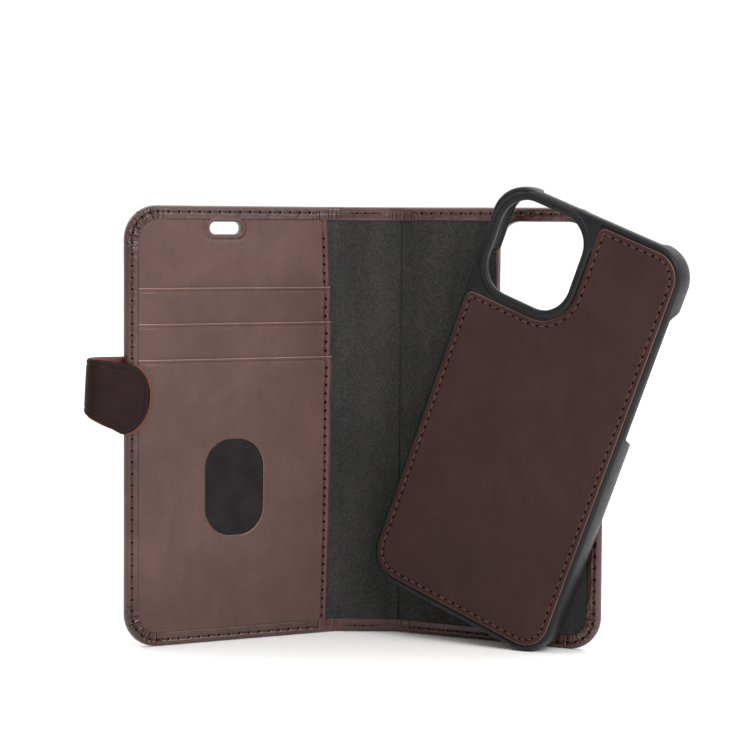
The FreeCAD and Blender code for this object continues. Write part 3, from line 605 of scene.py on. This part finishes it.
def half_fold(name, rows, bodies, start, end, stands=()):
    """One side of a fold: its leather and lining bend between a flat part and the fold panel."""
    outer, lip, lining = stations(rows)
    middle = np.array(start if bodies[0].endswith("fold") else end)
    gathered = bell(np.linalg.norm(outer[:, :2] - middle[None, :2], axis=1) / MM, 3.4)[:, None]
    inward = (lip - outer) / np.linalg.norm(lip - outer, axis=1)[:, None]
    skin, nap = Build(), Build()
    strip_skin(skin, outer, lip, gathered)
    strip_lining(nap, lining, lining - inward * 0.4 * MM)
    leather_piece = skin.finish(name + "_skin", HIDE, slot="outer_leather", stands=stands[:1])
    nap_piece = nap.finish(name + "_nap", SUEDE, slot="lining_suede", stands=stands[1:])
    for piece in (leather_piece, nap_piece):
        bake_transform(piece)


def side_rows(place, corner, way, crease, q_lip, sink):
    """Rows from a flat part's own leather to its crease, s running from the fold's corner."""
    return [(place, corner + way * s, *depths) for s, *depths in (
        (SKIN_START, Q_OUT, q_lip, 0.0), (SKIN_START - 1.0, Q_OUT, q_lip, 0.0),
        (crease + 1.2, -2.75, q_lip - 0.02, -0.02 * sink), (crease + 0.2, -2.3, q_lip - 0.1, -0.10 * sink))]


def fold_rows(place, length, lip, dip=0.0, far=False):
    """Rows over the near half of a fold's panel, or over its far half."""
    rows = [(0.10, -2.14, lip - 0.1, -0.20), (0.22, -2.10, lip - 0.11, -0.24 - dip),
            (0.34, -2.04, lip - 0.12, -0.28), (0.5, -2.0, lip - 0.12, -0.26)]
    rows = [(place, length * (1 - part if far else part), *depths) for part, *depths in rows]
    return rows[::-1] if far else rows


MID = HEIGHT / 2
FOLD_DIP = 0.7               # how deep the lining sinks into the back fold
back_mid = BACK_FOLD.point(BACK_FOLD_L / 2, Q_PIVOT, MID)
front_mid = FRONT_FOLD.point(FRONT_FOLD_L / 2, Q_PIVOT, MID)
fold_a = fold_rows(BACK_FOLD, BACK_FOLD_L, Q_LIP, FOLD_DIP)
fold_b = fold_rows(FRONT_FOLD, FRONT_FOLD_L, Q_LIP)
far_a = fold_rows(BACK_FOLD, BACK_FOLD_L, Q_LIP, far=True)
far_b = fold_rows(FRONT_FOLD, FRONT_FOLD_L, 0.7, far=True)[1:]
half_fold("back_fold_cover_side", side_rows(BACK, 0, 1, BACK_CREASE, Q_LIP, 1) + fold_a,
          ("back_cover", "back_fold"), BACK.point(BACK_CREASE + BLEND_REACH, Q_PIVOT, MID), back_mid,
          ["back_fold_leather", "back_fold_lining"])
half_fold("back_fold_spine_side", far_a + side_rows(SPINE, 0, 1, BACK_CREASE, Q_LIP, 2)[::-1],
          ("back_fold", "spine"), back_mid, SPINE.point(BACK_CREASE + BLEND_REACH, Q_PIVOT, MID))
half_fold("front_fold_spine_side", side_rows(SPINE, SPINE_W, -1, FRONT_CREASE, Q_LIP, 2) + fold_b,
          ("spine", "front_fold"), SPINE.point(SPINE_W - FRONT_CREASE - BLEND_REACH, Q_PIVOT, MID), front_mid,
          ["front_fold_leather", "front_fold_lining"])
half_fold("front_fold_cover_side",
          fold_b[-1:] + far_b + side_rows(FRONT, 0, 1, FRONT_CREASE, Q_FRONT_LIP, 1)[::-1],
          ("front_fold", "front_cover"), front_mid, FRONT.point(FRONT_CREASE + BLEND_REACH, Q_PIVOT, MID))

spine_skin, spine_nap = Build(), Build()
spine_s = np.linspace(SKIN_START, SPINE_W - SKIN_START, 30)
strip_skin(spine_skin, SPINE.at(spine_s, Q_OUT, 0), SPINE.at(spine_s, Q_LIP, 0), 0.15)
strip_lining(spine_nap, SPINE.at(spine_s, 0, 0), SPINE.at(spine_s, -0.4, 0))
spine_skin.finish("spine_skin", HIDE, "spine", "outer_leather", ["spine_leather"])
spine_nap.finish("spine_nap", SUEDE, "spine", "lining_suede", ["spine_lining"])
ends = np.arange(SKIN_START + 1.0, SPINE_W - SKIN_START, SPINE_PITCH)
spots, holes = (np.array([(s, z) for z in (STITCH_IN, HEIGHT - STITCH_IN) for s in row])
                for row in (ends, ends[:-1] + SPINE_PITCH / 2))
sewn_through("spine", SPINE, spots, np.zeros(len(spots)), holes, Q_LIP)


# ---------------------------------------------------------------- back cover's lining
lining_w = COVER_W - SIDE_LIP - SKIN_START + 0.3
nap_outline = rounded(SKIN_START + lining_w / 2, MID, lining_w, HEIGHT - 2 * END_LIP + 0.6, 0.6, step=2)
nap_hole = rounded(CAM_S, CAM_Z, CAM_W + 1.0, CAM_H + 1.0, CAM_R + 0.5, hole=True)
lining = Build()
lining.plate(BACK, [nap_outline, nap_hole], [
    [(0, 0), (0, -0.2), (0, -0.45)], [(0.32, 0.02), (0.1, -0.05), (0, -0.18), (0, -0.43), (0.2, -0.45)]])
lining.finish("back_cover_nap", SUEDE, "back_cover", "lining_suede", ["back_cover_lining"])


# ---------------------------------------------------------------- pocket panels
S_LAST = COVER_W - SIDE_LIP + 0.4
FLAT_TOP, FLAT_S = 84.0, 6.9     # the main panel is flat below this height, beyond this distance


def pocket_edge(z):
    """Where the pockets' loose edge lies beside the fold: it bows out in the middle."""
    return 2.7 - 2.2 * np.sin(math.pi * np.clip((z - END_LIP) / (HEIGHT - 2 * END_LIP), 0, 1)) ** 0.8


def pocket_seam(z):
    """The line of stitches that follows the pockets' loose edge."""
    return 2.85 + pocket_edge(z) * 0.57


def pocket_relief(s, z):
    """The rolled edge beside the pockets' seam, and the seam's own dents."""
    roll = 0.34 * bell(s - (0.5 * pocket_edge(z) + 0.5 * pocket_seam(z)), 0.75)
    return roll + seam(s - pocket_seam(z), z, POCKET_PITCH, 0.40)


def pocket_grid(build, s_last, rows):
    """A pocket's front between its mouth and its foot. Rows give height and depth at the middle."""
    near = np.array([0.55, 0.12, 0.0, 0.10, 0.32, 0.6])
    drop = np.array([0.70, 0.48, 0.28, 0.10, 0.02, 0.0])
    fine = np.arange(0.95, 6.6, 0.24)
    rest = np.concatenate([np.linspace(FLAT_S, 73.0, 56), [74.0, 75.0, 76.0, 77.0, S_LAST]])
    z, q = np.array(rows, float).T[:, None]
    start = pocket_edge(z)
    reach = np.concatenate([near, fine])[:, None]
    spread = (6.4 - start - 0.6) / (fine[-1] - 0.6)
    left = start + np.where(reach > 0.6, 0.6 + (reach - 0.6) * spread, reach)
    rest = rest[rest <= s_last][:, None] + 0 * z
    s = np.concatenate([left, rest])
    fall = np.concatenate([drop, np.zeros(len(s) - 6)])[:, None]
    step = (q - POCKET_Q) * (1 - 0.75 * smooth(70.0, 76.0, s))
    points = FRONT.at(s, POCKET_Q + step - fall + pocket_relief(s, z), z)
    build.grid(points)
    return points


# a mouth's folded leather, with the line pressed below it, and the pale strip over its top: partly the edge's
# own paler tone, partly a painted highlight where the fold catches the light
MOUTH = ((-2.3, 0.02), (-2.1, 0.05), (-1.95, 0.05), (-1.8, -0.03), (-1.66, -0.18), (-1.5, -0.27),
         (-1.25, -0.26), (-1.0, -0.12), (-0.85, -0.02), (-0.6, 0.04), (-0.35, 0.02), (-0.15, -0.08),
         (-0.03, -0.22), (0.0, -0.36), (-0.06, -0.56), (-0.3, -0.66), (-2.5, -0.68))
MOUTH_EDGE = ((-0.27, 0.025), (-0.12, -0.04), (0.0, -0.20), (0.035, -0.36), (-0.02, -0.56))


def mouth(top, shape=MOUTH):
    """Rows of (height, depth) over a pocket's mouth."""
    return [(top + rise, POCKET_Q + SLOT_STEP + depth) for rise, depth in shape]


def rows_up(z0, z1, q0=POCKET_Q, q1=POCKET_Q, step=0.45):
    """Rows of (height, depth) between two heights."""
    n = max(2, round((z1 - z0) / step))
    t = np.linspace(0, 1, n, endpoint=False)
    return [(z0 + (z1 - z0) * a, q0 + (q1 - q0) * b) for a, b in zip(t, smooth(0, 1, t))]


def mouth_rows(foot, top):
    """A pocket's front where it rises from the panel behind it to its own mouth."""
    return rows_up(foot, top - 2.3, q1=POCKET_Q + SLOT_STEP) + mouth(top)


for number in (1, 2):
    foot, knee, build = SLOT_TOPS[number] - TUCK, SLOT_TOPS[number] + 0.3, Build()
    pocket_grid(build, S_LAST, rows_up(foot, knee) + mouth_rows(knee, SLOT_TOPS[number - 1]))
    build.finish("card_slot_%d" % number, POCKET_HIDE, "front_cover", "pocket_leather",
                 ["card_slot_panel_%d" % number])

main, mouth_edges, foot = Build(), Build(), END_LIP - 0.4
upper = pocket_grid(main, S_LAST, mouth_rows(FLAT_TOP, SLOT_TOPS[2]))
flat_rows = rows_up(foot, FLAT_TOP) + [(FLAT_TOP, POCKET_Q)]
strip = pocket_grid(main, FLAT_S, flat_rows)
window = rounded(WINDOW_S, WINDOW_Z, WINDOW_W, WINDOW_H, WINDOW_R, hole=True, step=0.4)
ring = main.rim(FRONT, window, [(2.2, 0.60), (1.4, 0.60), (0.9, 0.61), (0.6, 0.62), (0.4, 0.60), (0.24, 0.54),
                                (0.1, 0.42), (0.02, 0.26), (0.0, 0.08), (0.1, -0.06)])
corner_points = FRONT.at([S_LAST], POCKET_Q, foot)
main.fill(np.concatenate([strip[-1], upper[len(strip):, 0], corner_points]), ring[:, 0])
main.finish("main_pocket", POCKET_HIDE, "front_cover", "pocket_leather", ["main_pocket_panel"])
# pale strips over the mouths and round the window: partly the edges' tone, partly painted highlight
for top in SLOT_TOPS:
    pocket_grid(mouth_edges, S_LAST, mouth(top, MOUTH_EDGE))
mouth_edges.rim(FRONT, window, [(0.16, 0.51), (0.06, 0.40), (0.0, 0.26), (-0.03, 0.06)])
mouth_edges.finish("pocket_edges_tone_and_highlight", POCKET_EDGE_AND_HIGHLIGHT, "front_cover", "pocket_leather")

upper_pocket = Build()
low_z, high_z = SLOT_TOPS[0] - TUCK, HEIGHT - END_LIP + 0.4
strip = pocket_grid(upper_pocket, FLAT_S, rows_up(low_z, high_z) + [(high_z, POCKET_Q)])
ear_rim = upper_pocket.rim(FRONT, EAR, [(0.0, -0.5), (0.0, 0.30), (0.06, 0.66), (0.25, 0.90), (0.6, 1.02),
                                        (1.0, 1.0), (1.35, 0.84), (1.6, 0.58), (1.85, 0.42), (2.15, 0.44),
                                        (2.5, 0.55), (2.9, 0.60)])
corner_points = FRONT.at([FLAT_S, S_LAST, S_LAST], POCKET_Q, [high_z + 1.8, high_z + 1.8, low_z])
upper_pocket.fill(np.concatenate([strip[-1], corner_points]), ear_rim[:, -1])
upper_pocket.finish("upper_pocket", POCKET_HIDE, "front_cover", "pocket_leather",
                    ["pocket_top_panel", "earpiece_slot_rim"])

liner = Build()
liner_hole = rounded(EAR_S, EAR_Z, EAR_W + 1.2, EAR_H + 1.2, EAR_H / 2 + 0.5, hole=True)
liner_outline = rounded(40.8, MID, 72.4, HEIGHT - 2 * END_LIP + 0.4, 0.6, step=2)
liner.plate(FRONT, [liner_outline, liner_hole], [[(0, -0.1), (0, -0.3), (0, -0.45)]] * 2)
liner.finish("pocket_twill_liner", TWILL, "front_cover", "pocket_twill", ["pocket_liner"])

edge_thread, edge_holes = Build(), Build()
z_mid = np.arange(END_LIP + 1.6, HEIGHT - END_LIP - 1.0, POCKET_PITCH)
z_mid = z_mid[0] - (z_mid[0] % POCKET_PITCH) + POCKET_PITCH / 2 + np.arange(len(z_mid)) * POCKET_PITCH
z_mid = z_mid[z_mid > END_LIP + 1.2]
lifts = np.zeros(len(z_mid))
for mouth_z, knee_z in ((SLOT_TOPS[0], SLOT_TOPS[1]), (SLOT_TOPS[1], SLOT_TOPS[2]), (SLOT_TOPS[2], FLAT_TOP)):
    within = (z_mid <= mouth_z) & (z_mid > knee_z)
    lifts[within] = SLOT_STEP * smooth(knee_z, mouth_z - 2.3, z_mid[within])
for z, lift in zip(z_mid, POCKET_Q + lifts):
    way = math.pi / 2 - math.atan((pocket_seam(z + 1) - pocket_seam(z - 1)) / 2)
    thread(edge_thread, FRONT, [(pocket_seam(z), z)], [way], (lift - 0.20, 1), 2.1, 0.50, 0.22, 4)
    z -= POCKET_PITCH / 2
    pits(edge_holes, FRONT, [(pocket_seam(z), z)], (lift + 0.12, 1), 0.50)
edge_holes.finish("pocket_needle_holes", HOLE_SHADE, "front_cover", "thread")
edge_thread.finish("pocket_edge_thread", DARK_THREAD, "front_cover", "thread", ["pocket_edge_stitching"])


# ---------------------------------------------------------------- strap
TURN_U = STRAP_TURN - STRAP_ROOT
STRAP_PATH = Path((STRAP_ROOT, STRAP_Q), 0, [(TURN_U, 0), (TURN_R, 180), (STRAP_TURN - TAB_END, 0)],
                  closed=False, step=0.4)
TAB_U = TURN_U + math.pi * TURN_R
END_U = TAB_U + STRAP_TURN - TAB_END
TAB_R = (TAB_HIGH - TAB_LOW) / 2
ROUND_U = END_U - TAB_ROUND
ROOT_R = (STRAP_HIGH - STRAP_LOW) / 2
BAND_U = STRAP_PIVOT - STRAP_ROOT + 4.0
BACKING_TIP = 1.5            # how far the strap's backing shows past its outer leather at the tip
STRAP_LEAN, LEAN_Z = 0.06, 92.0      # the turn and the tab lean by this much about this height
TAB_STITCH_IN = 2.1


def strap_span(u):
    """The strap's low and high edge along its length."""
    low = np.interp(u, [0, TURN_U, TAB_U, ROUND_U, END_U],
                    [STRAP_LOW, STRAP_LOW, STRAP_LOW - TAB_FLARE, TAB_LOW, TAB_LOW])
    high = np.interp(u, [0, TURN_U, TAB_U, ROUND_U, END_U],
                     [STRAP_HIGH, STRAP_HIGH, STRAP_HIGH - 0.6, TAB_HIGH, TAB_HIGH])
    root = ROOT_R - np.sqrt(np.clip(ROOT_R ** 2 - np.clip(ROOT_R - u, 0, None) ** 2, 0, None))
    tip = TAB_R * (1 - np.sqrt(np.clip(1 - (np.clip(u - ROUND_U, 0, None) / TAB_ROUND) ** 2, 0, None)))
    return low + root + tip, high - root - tip


def strap_layer(u0, u1, side, margin):
    """One of the strap's two leathers between two lengths along it, on the outer or inner side."""
    tip = END_U + (BACKING_TIP if side < 0 else 0)
    u = np.linspace(u0, u1, max(8, round((u1 - u0) / 0.4)))
    if u1 >= END_U:
        u = np.concatenate([u[u < tip - 3], tip - 3 * (1 - np.linspace(0, 1, 60)) ** 2])
    if u0 <= 0:
        u = np.concatenate([2.5 * np.linspace(0, 1, 40) ** 2, u[u > 2.5]])
    low, high = strap_span(u - (tip - END_U) * smooth(TAB_U, ROUND_U, u))
    low, high = (low - margin)[:, None], (high - margin / 2)[:, None]
    z = low + (high - low) * (0.5 - 0.5 * np.cos(np.linspace(0, math.pi, 56))[None, :])
    inside = np.minimum(z - low, high - z)
    ends = np.minimum(tip + margin - u if u1 >= END_U else 99 + 0 * u, u + margin if u0 <= 0 else 99 + 0 * u)
    inside_end = np.minimum(inside, ends[:, None])
    reach = np.clip(inside_end / 0.85, 0, 1)
    height = LAYER * (0.25 + 0.75 * np.sqrt(np.clip(1 - (1 - reach) ** 2, 0, 1))) * (reach > 0)
    if side > 0:
        groove = inside_end - 2.0
        height = height - 0.10 * bell(groove, 0.4) + 0.07 * bell(np.abs(groove) - 0.9, 0.5)
        height = height + 0.12 * smooth(0, 7, inside)
    centre = np.stack([np.interp(u, STRAP_PATH.u, STRAP_PATH.p[:, k]) for k in range(2)], 1)
    centre[:, 0] -= np.clip(u - END_U, 0, None)
    lean = STRAP_LEAN * smooth(BAND_U, TURN_U, u)[:, None] * (LEAN_Z - z)
    way = np.interp(u, STRAP_PATH.u, STRAP_PATH.way)
    normal = np.stack([np.sin(way), -np.cos(way)], 1) * side
    build = Build()
    build.sheet(*[FRONT.at(centre[:, 0, None] + normal[:, 0, None] * h + lean,
                           centre[:, 1, None] + normal[:, 1, None] * h, z) for h in (height, 0 * height)])
    return build


STRAP_LAYERS = ((1, STRAP_HIDE, "strap_leather", 0.0, "skin", "outer_leather"),
                (-1, BACKING, "strap_backing", 0.45, "backing", "inner_leather"))
for side, hide, slot_name, margin, word, layer in STRAP_LAYERS:
    root = strap_layer(0, BAND_U, side, margin).finish(
        "strap_root_" + word, hide, None, slot_name, ["strap_root_" + layer, "strap_band_" + layer])
    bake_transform(root)
    turn = strap_layer(BAND_U, TAB_U, side, margin).finish(
        "strap_turn_" + word, hide, None, slot_name, ["strap_turn_" + layer])
    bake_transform(turn)
    strap_layer(TAB_U, END_U, side, margin).finish(
        "strap_tab_" + word, hide, "strap_tab", slot_name, ["strap_tab_" + layer])

tab_u = np.linspace(TAB_U + 0.5, END_U - 0.05, 200)
tab_low, tab_high = strap_span(tab_u)
tab_s = STRAP_TURN - (tab_u - TAB_U)
tab_edge = np.concatenate([np.stack([tab_s, tab_high], 1), np.stack([tab_s, tab_low], 1)[::-1]])
tab_edge[:, 0] += STRAP_LEAN * (LEAN_Z - tab_edge[:, 1])


def along_edge(line, inset, pitch, part):
    """Evenly spaced places inside a line of points that turns to its left, and its directions there."""
    step = np.gradient(line, axis=0)
    step /= np.linalg.norm(step, axis=1)[:, None]
    inner = line + inset * np.stack([-step[:, 1], step[:, 0]], 1)
    u = np.concatenate([[0], np.cumsum(np.linalg.norm(np.diff(inner, axis=0), axis=1))])
    at = (np.arange(int(u[-1] / pitch)) + part) * pitch
    places = np.stack([np.interp(at, u, inner[:, k]) for k in range(2)], 1)
    return places, np.interp(at, u, np.unwrap(np.arctan2(step[:, 1], step[:, 0])))


tab_q = STRAP_Q + 2 * TURN_R + LAYER
tab_thread, tab_holes = Build(), Build()
spots, ways = along_edge(tab_edge, TAB_STITCH_IN, STRAP_PITCH, 0.5)
thread(tab_thread, FRONT, spots, ways, (tab_q - 0.04, 1), 2.0, 0.42, 0.18, 5)
pits(tab_holes, FRONT, along_edge(tab_edge, TAB_STITCH_IN, STRAP_PITCH, 1.0)[0], (tab_q + 0.10, 1), 0.34)
tab_thread.finish("strap_tab_thread", STRAP_THREAD, "strap_tab", "thread", ["strap_tab_stitching"])
tab_holes.finish("strap_tab_needle_holes", HOLE_SHADE, "strap_tab", "thread")
root_thread = Build()
for z in (STRAP_LOW + 2.0, STRAP_HIGH - 2.0):
    spots = [(s, z) for s in np.arange(STRAP_ROOT + 8.0, STRAP_PIVOT - 3.0, STRAP_PITCH)]
    thread(root_thread, FRONT, spots, np.zeros(len(spots)), (STRAP_Q - LAYER + 0.02, -1), 2.1, 0.5, 0.22)
root_thread.finish("strap_root_thread", DARK_THREAD, "front_cover", "thread", ["strap_root_stitching"])


# ---------------------------------------------------------------- shell
def wall_drop(path):
    """How far each station's wall is lowered, from 0 to 1."""
    drop = np.zeros(len(path.p))
    for (nx, nz), (low, high) in LOW_SIDES.items():
        along = path.p[:, 1] if nx else path.p[:, 0]
        facing = (path.n @ np.array([-nx, -nz])) > 0.999
        ramp = smooth(low - 4.0, low, along) * smooth(high + 4.0, high, along)
        drop = np.where(facing, ramp, drop)
    return drop[:, None]


shell_path = rounded(0, 0, SHELL_W, SHELL_H, SHELL_R, step=0.6)
drop = wall_drop(shell_path)
wall_top = SHELL_DEPTH - drop * (SHELL_DEPTH - LOW_WALL)
curve_d = [0.0, 0.25, 0.55, 0.9, 1.4, 2.0, 3.2, 4.6, 6.8, 9.2, 10.2, 10.9]
curve_i = [1.1, 0.62, 0.34, 0.15, 0.05, 0.0, -0.1, -0.15, -0.05, 0.35, 0.75, 1.3]
outer_d = np.array([0.25, 0.55, 0.9, 1.4, 2.0, 2.9, 4.1, 5.5, 7.0, 8.3, 9.3, 9.95, 10.4, 10.7])
scaled = np.where(outer_d > 2.0, 2.0 + (outer_d - 2.0) * (wall_top - 2.0) / (SHELL_DEPTH - 2.0), outer_d)
outer_i = np.interp(scaled, curve_d, curve_i) + np.interp(outer_d, [9.3, 10.7], [0, 0.25]) * drop
lip = (1 - drop) * 1.0
top_i = np.concatenate([1.62 * (1 - drop) + 0.55 * drop, 2.0 * (1 - drop) + 1.0 * drop, 1.6 + lip * 0.9,
                        1.78 + lip * 1.05, 1.85 + lip * 0.95, 1.85 + lip * 0.35, 1.85 + 0 * lip], 1)
top_d = wall_top + np.array([0.0, 0.06, 0.02, -0.18, -0.55, -0.80, -1.1]) * (0.45 + 0.55 * (1 - drop))
(back_i, back_d), (inner_i, inner_d) = (
    [np.tile(row, (len(drop), 1)) for row in rows] for rows in (
        ([1.62, 1.60, 1.50, 1.35, 1.10], [0.60, 0.15, 0.02, 0.0, 0.03]),
        ([1.85, 1.95, 2.3, 3.2], [2.5, 2.05, 1.85, 1.8])))
shell = Build()
walls = shell.band(SHELL, shell_path, np.concatenate([back_i, outer_i, top_i, inner_i], 1),
                   np.concatenate([back_d, scaled, top_d, inner_d], 1))
shell_hole = rounded(HOLE_X, HOLE_Z, HOLE_W, HOLE_H, HOLE_R, hole=True, step=0.4)
ring = shell.rim(SHELL, shell_hole, [(1.4, 1.82), (0.5, 1.80), (0.12, 1.68), (0.0, 1.45), (0.0, 0.25),
                                     (0.05, -0.12), (0.22, -0.42), (0.55, -0.66), (1.1, -0.80), (1.7, -0.80),
                                     (2.2, -0.68), (2.6, -0.45), (2.85, -0.20), (3.05, -0.02), (3.3, 0.5)])
shell.fill(walls[:, -1], ring[:, 0])
shell.fill(walls[:, 0], ring[:, -1])
BACK_ROUND = 1.35            # from the shell's outline to the flat of its back
gap = NOTCH_SIDE - 0.1
right, low = HOLE_X + HOLE_W / 2 + gap, HOLE_Z - HOLE_H / 2 - NOTCH_LOW + 0.1
edge_x, edge_z, inner_r = (v - BACK_ROUND for v in (SHELL_W / 2, SHELL_H / 2, SHELL_R))
notch_r = HOLE_R + gap
shoulder_path = Path((-edge_x + inner_r, edge_z), 0,
                     [(edge_x - inner_r + right - 0.4, 0), (0.4, -90), (edge_z - 0.4 - low - notch_r, 0),
                      (notch_r, -90), (right - notch_r + edge_x - 0.4, 0), (0.4, -90),
                      (edge_z - low - 0.4 - inner_r, 0), (inner_r, -90)])
shoulder = shell.rim(SHELL, shoulder_path, [(0.35, 0.0), (0.15, 0.05), (0.0, 0.25), (0.0, 0.55)])
shell.fill(shoulder[:, 0], ring[:, -3])
shell.finish("shell_body", PLASTIC, "shell", "shell_plastic", ["shell_tray"], sharp=50)

right, low = HOLE_X + HOLE_W / 2 + NOTCH_SIDE, HOLE_Z - HOLE_H / 2 - NOTCH_LOW
soft = 2.4                   # roundness of the leather's two outward corners at the notch
PANEL_Q = -0.28              # outer face of the leather panel
notch_r = HOLE_R + NOTCH_SIDE
panel_path = Path((right + soft, PANEL_HH), 0,
                  [(PANEL_HW - PANEL_R - right - soft, 0), (PANEL_R, -90), (2 * (PANEL_HH - PANEL_R), 0),
                   (PANEL_R, -90), (2 * (PANEL_HW - PANEL_R), 0), (PANEL_R, -90),
                   (PANEL_HH - PANEL_R + low - soft, 0), (soft, -90), (PANEL_HW + right - notch_r - soft, 0),
                   (notch_r, 90), (PANEL_HH - low - notch_r - soft, 0), (soft, -90)], step=0.36)
insets = [0.0, 0.03, 0.16, 0.4, 0.7, 1.0, 1.25, 1.5, 1.7, 1.9, 2.1, 2.3, 2.5, 2.7, 2.95, 3.2, 3.6, 4.2]
crown = np.concatenate([[0.5, 0.12, -0.06, -0.17, -0.23, -0.26, -0.27], np.full(11, PANEL_Q)])
table = np.tile(insets, (len(panel_path.p), 1))
pitch = panel_path.length / round(panel_path.length / SHELL_PITCH)
dents = seam(table - SHELL_STITCH_IN, panel_path.u[:, None], pitch, 0.34)
hide = Build()
rim = hide.band(SHELL, panel_path, table, crown[None, :] - dents * (table > 0.6))
hide.fill(rim[:, -1])
hide.fill(rim[:, 0])
hide.finish("shell_leather_skin", SHELL_HIDE, "shell", "outer_leather", ["shell_leather_panel"])
shell_thread, shell_holes, shell_edge = Build(), Build(), Build()
spots, ways = stitch_places(panel_path, SHELL_STITCH_IN, SHELL_PITCH)
thread(shell_thread, SHELL, spots, ways, (PANEL_Q + 0.12, -1), 2.2, 0.42, 0.26, -8)
pits(shell_holes, SHELL, stitch_places(panel_path, SHELL_STITCH_IN, SHELL_PITCH, 0.0)[0], (PANEL_Q, -1), 0.40)
# the leather's bevelled edge: a pale band that is partly the raw edge's tone, partly a painted highlight
shell_edge.rim(SHELL, panel_path,
               [(-0.05, 0.45), (-0.03, 0.10), (0.06, -0.03), (0.18, -0.10), (0.26, -0.135)])
shell_thread.finish("shell_thread", THREAD, "shell", "thread", ["shell_stitching"])
shell_holes.finish("shell_needle_holes", HOLE_SHADE, "shell", "thread")
shell_edge.finish("shell_leather_edge", EDGE_TONE_AND_HIGHLIGHT, "shell", "outer_leather")
inside = Build()
inside_outline = rounded(0, 0, PHONE_W - 0.8, PHONE_H - 0.8, PHONE_R - 0.4)
inside_hole = rounded(HOLE_X, HOLE_Z, HOLE_W + 1.6, HOLE_H + 1.6, HOLE_R + 0.8, hole=True)
inside.plate(SHELL, [inside_outline, inside_hole], [[(0.3, 2.1), (0.08, 2.05), (0.0, 1.95), (0.0, 1.85)]] * 2)
inside.finish("shell_nap", SUEDE, "shell", "lining_suede", ["shell_lining"])


# ---------------------------------------------------------------- stage, light and camera
def stage_floor():
    n = Nodes("pale_floor", 0.85, 0.2)
    n.shade(Base_Color=n.ramp(n.noise(3, 3), [(0.3, (0.960, 0.957, 0.953)), (0.7, (0.972, 0.969, 0.965))]))
    n.bump((n.noise(400, 3), 0.1, 0.02))
    bpy.ops.mesh.primitive_plane_add(size=14, location=(0, 0, -0.0001))
    floor = bpy.context.object
    floor.name = "stage_floor"
    floor.data.materials.append(n.material)


def lamp(name, where, size, power, aim=(0, 0, 0.08)):
    data = bpy.data.lights.new(name, "AREA")
    data.shape, data.size, data.size_y = "RECTANGLE", *size
    data.energy = power
    light = bpy.data.objects.new(name, data)
    light.location = where
    light.rotation_euler = (Vector(aim) - Vector(where)).to_track_quat("-Z", "Y").to_euler()
    bpy.context.scene.collection.objects.link(light)


def studio_world(near, far, overhead):
    """White behind the object and overhead, dimmer on the near side so that the leather keeps its depth."""
    world = bpy.data.worlds.new("studio")
    world.use_nodes = True
    tree = world.node_tree
    way = add_node(tree, "TexCoord", {}).outputs["Generated"]
    parts = []
    for direction, start, end, low, high in (((-0.515, 0.857, 0), -0.15, 0.35, near, far),
                                             ((0, 0, 1), 0.15, 0.75, 0.0, overhead)):
        dot = add_node(tree, "VectorMath", {0: way, 1: direction}, operation="DOT_PRODUCT").outputs["Value"]
        span = {"Value": dot, "From Min": start, "From Max": end, "To Min": low, "To Max": high}
        parts.append(add_node(tree, "MapRange", span, interpolation_type="SMOOTHSTEP").outputs["Result"])
    total = add_node(tree, "Math", dict(enumerate(parts)))
    background = tree.nodes["Background"]
    background.inputs["Color"].default_value = (1.0, 0.997, 0.994, 1)
    tree.links.new(total.outputs[0], background.inputs["Strength"])
    bpy.context.scene.world = world


stage_floor()
studio_world(0.30, 1.05, 0.90)
lamp("key_right", (0.66, -0.42, 0.66), (0.45, 0.45), 4.8)
lamp("side_soft", (1.0, -0.02, 0.44), (0.30, 0.50), 1.8)

FOCAL_PX, FRAME_PX, SENSOR = 2632.7, 750, 36.0
camera_data = bpy.data.cameras.new("camera")
camera_data.sensor_width = SENSOR
camera_data.lens = FOCAL_PX / FRAME_PX * SENSOR
camera_data.clip_start, camera_data.clip_end = 0.05, 50
camera = bpy.data.objects.new("camera", camera_data)
aim = Matrix.Translation((0.44074, -0.81956, 0.14749))
for angle, axis in ((31.009, "Z"), (-3.256, "X"), (-0.331, "Y"), (90, "X")):
    aim = aim @ Matrix.Rotation(math.radians(angle), 4, axis)
camera.matrix_world = aim
bpy.context.scene.collection.objects.link(camera)
bpy.context.scene.camera = camera
bpy.context.scene.view_settings.view_transform = "Standard"
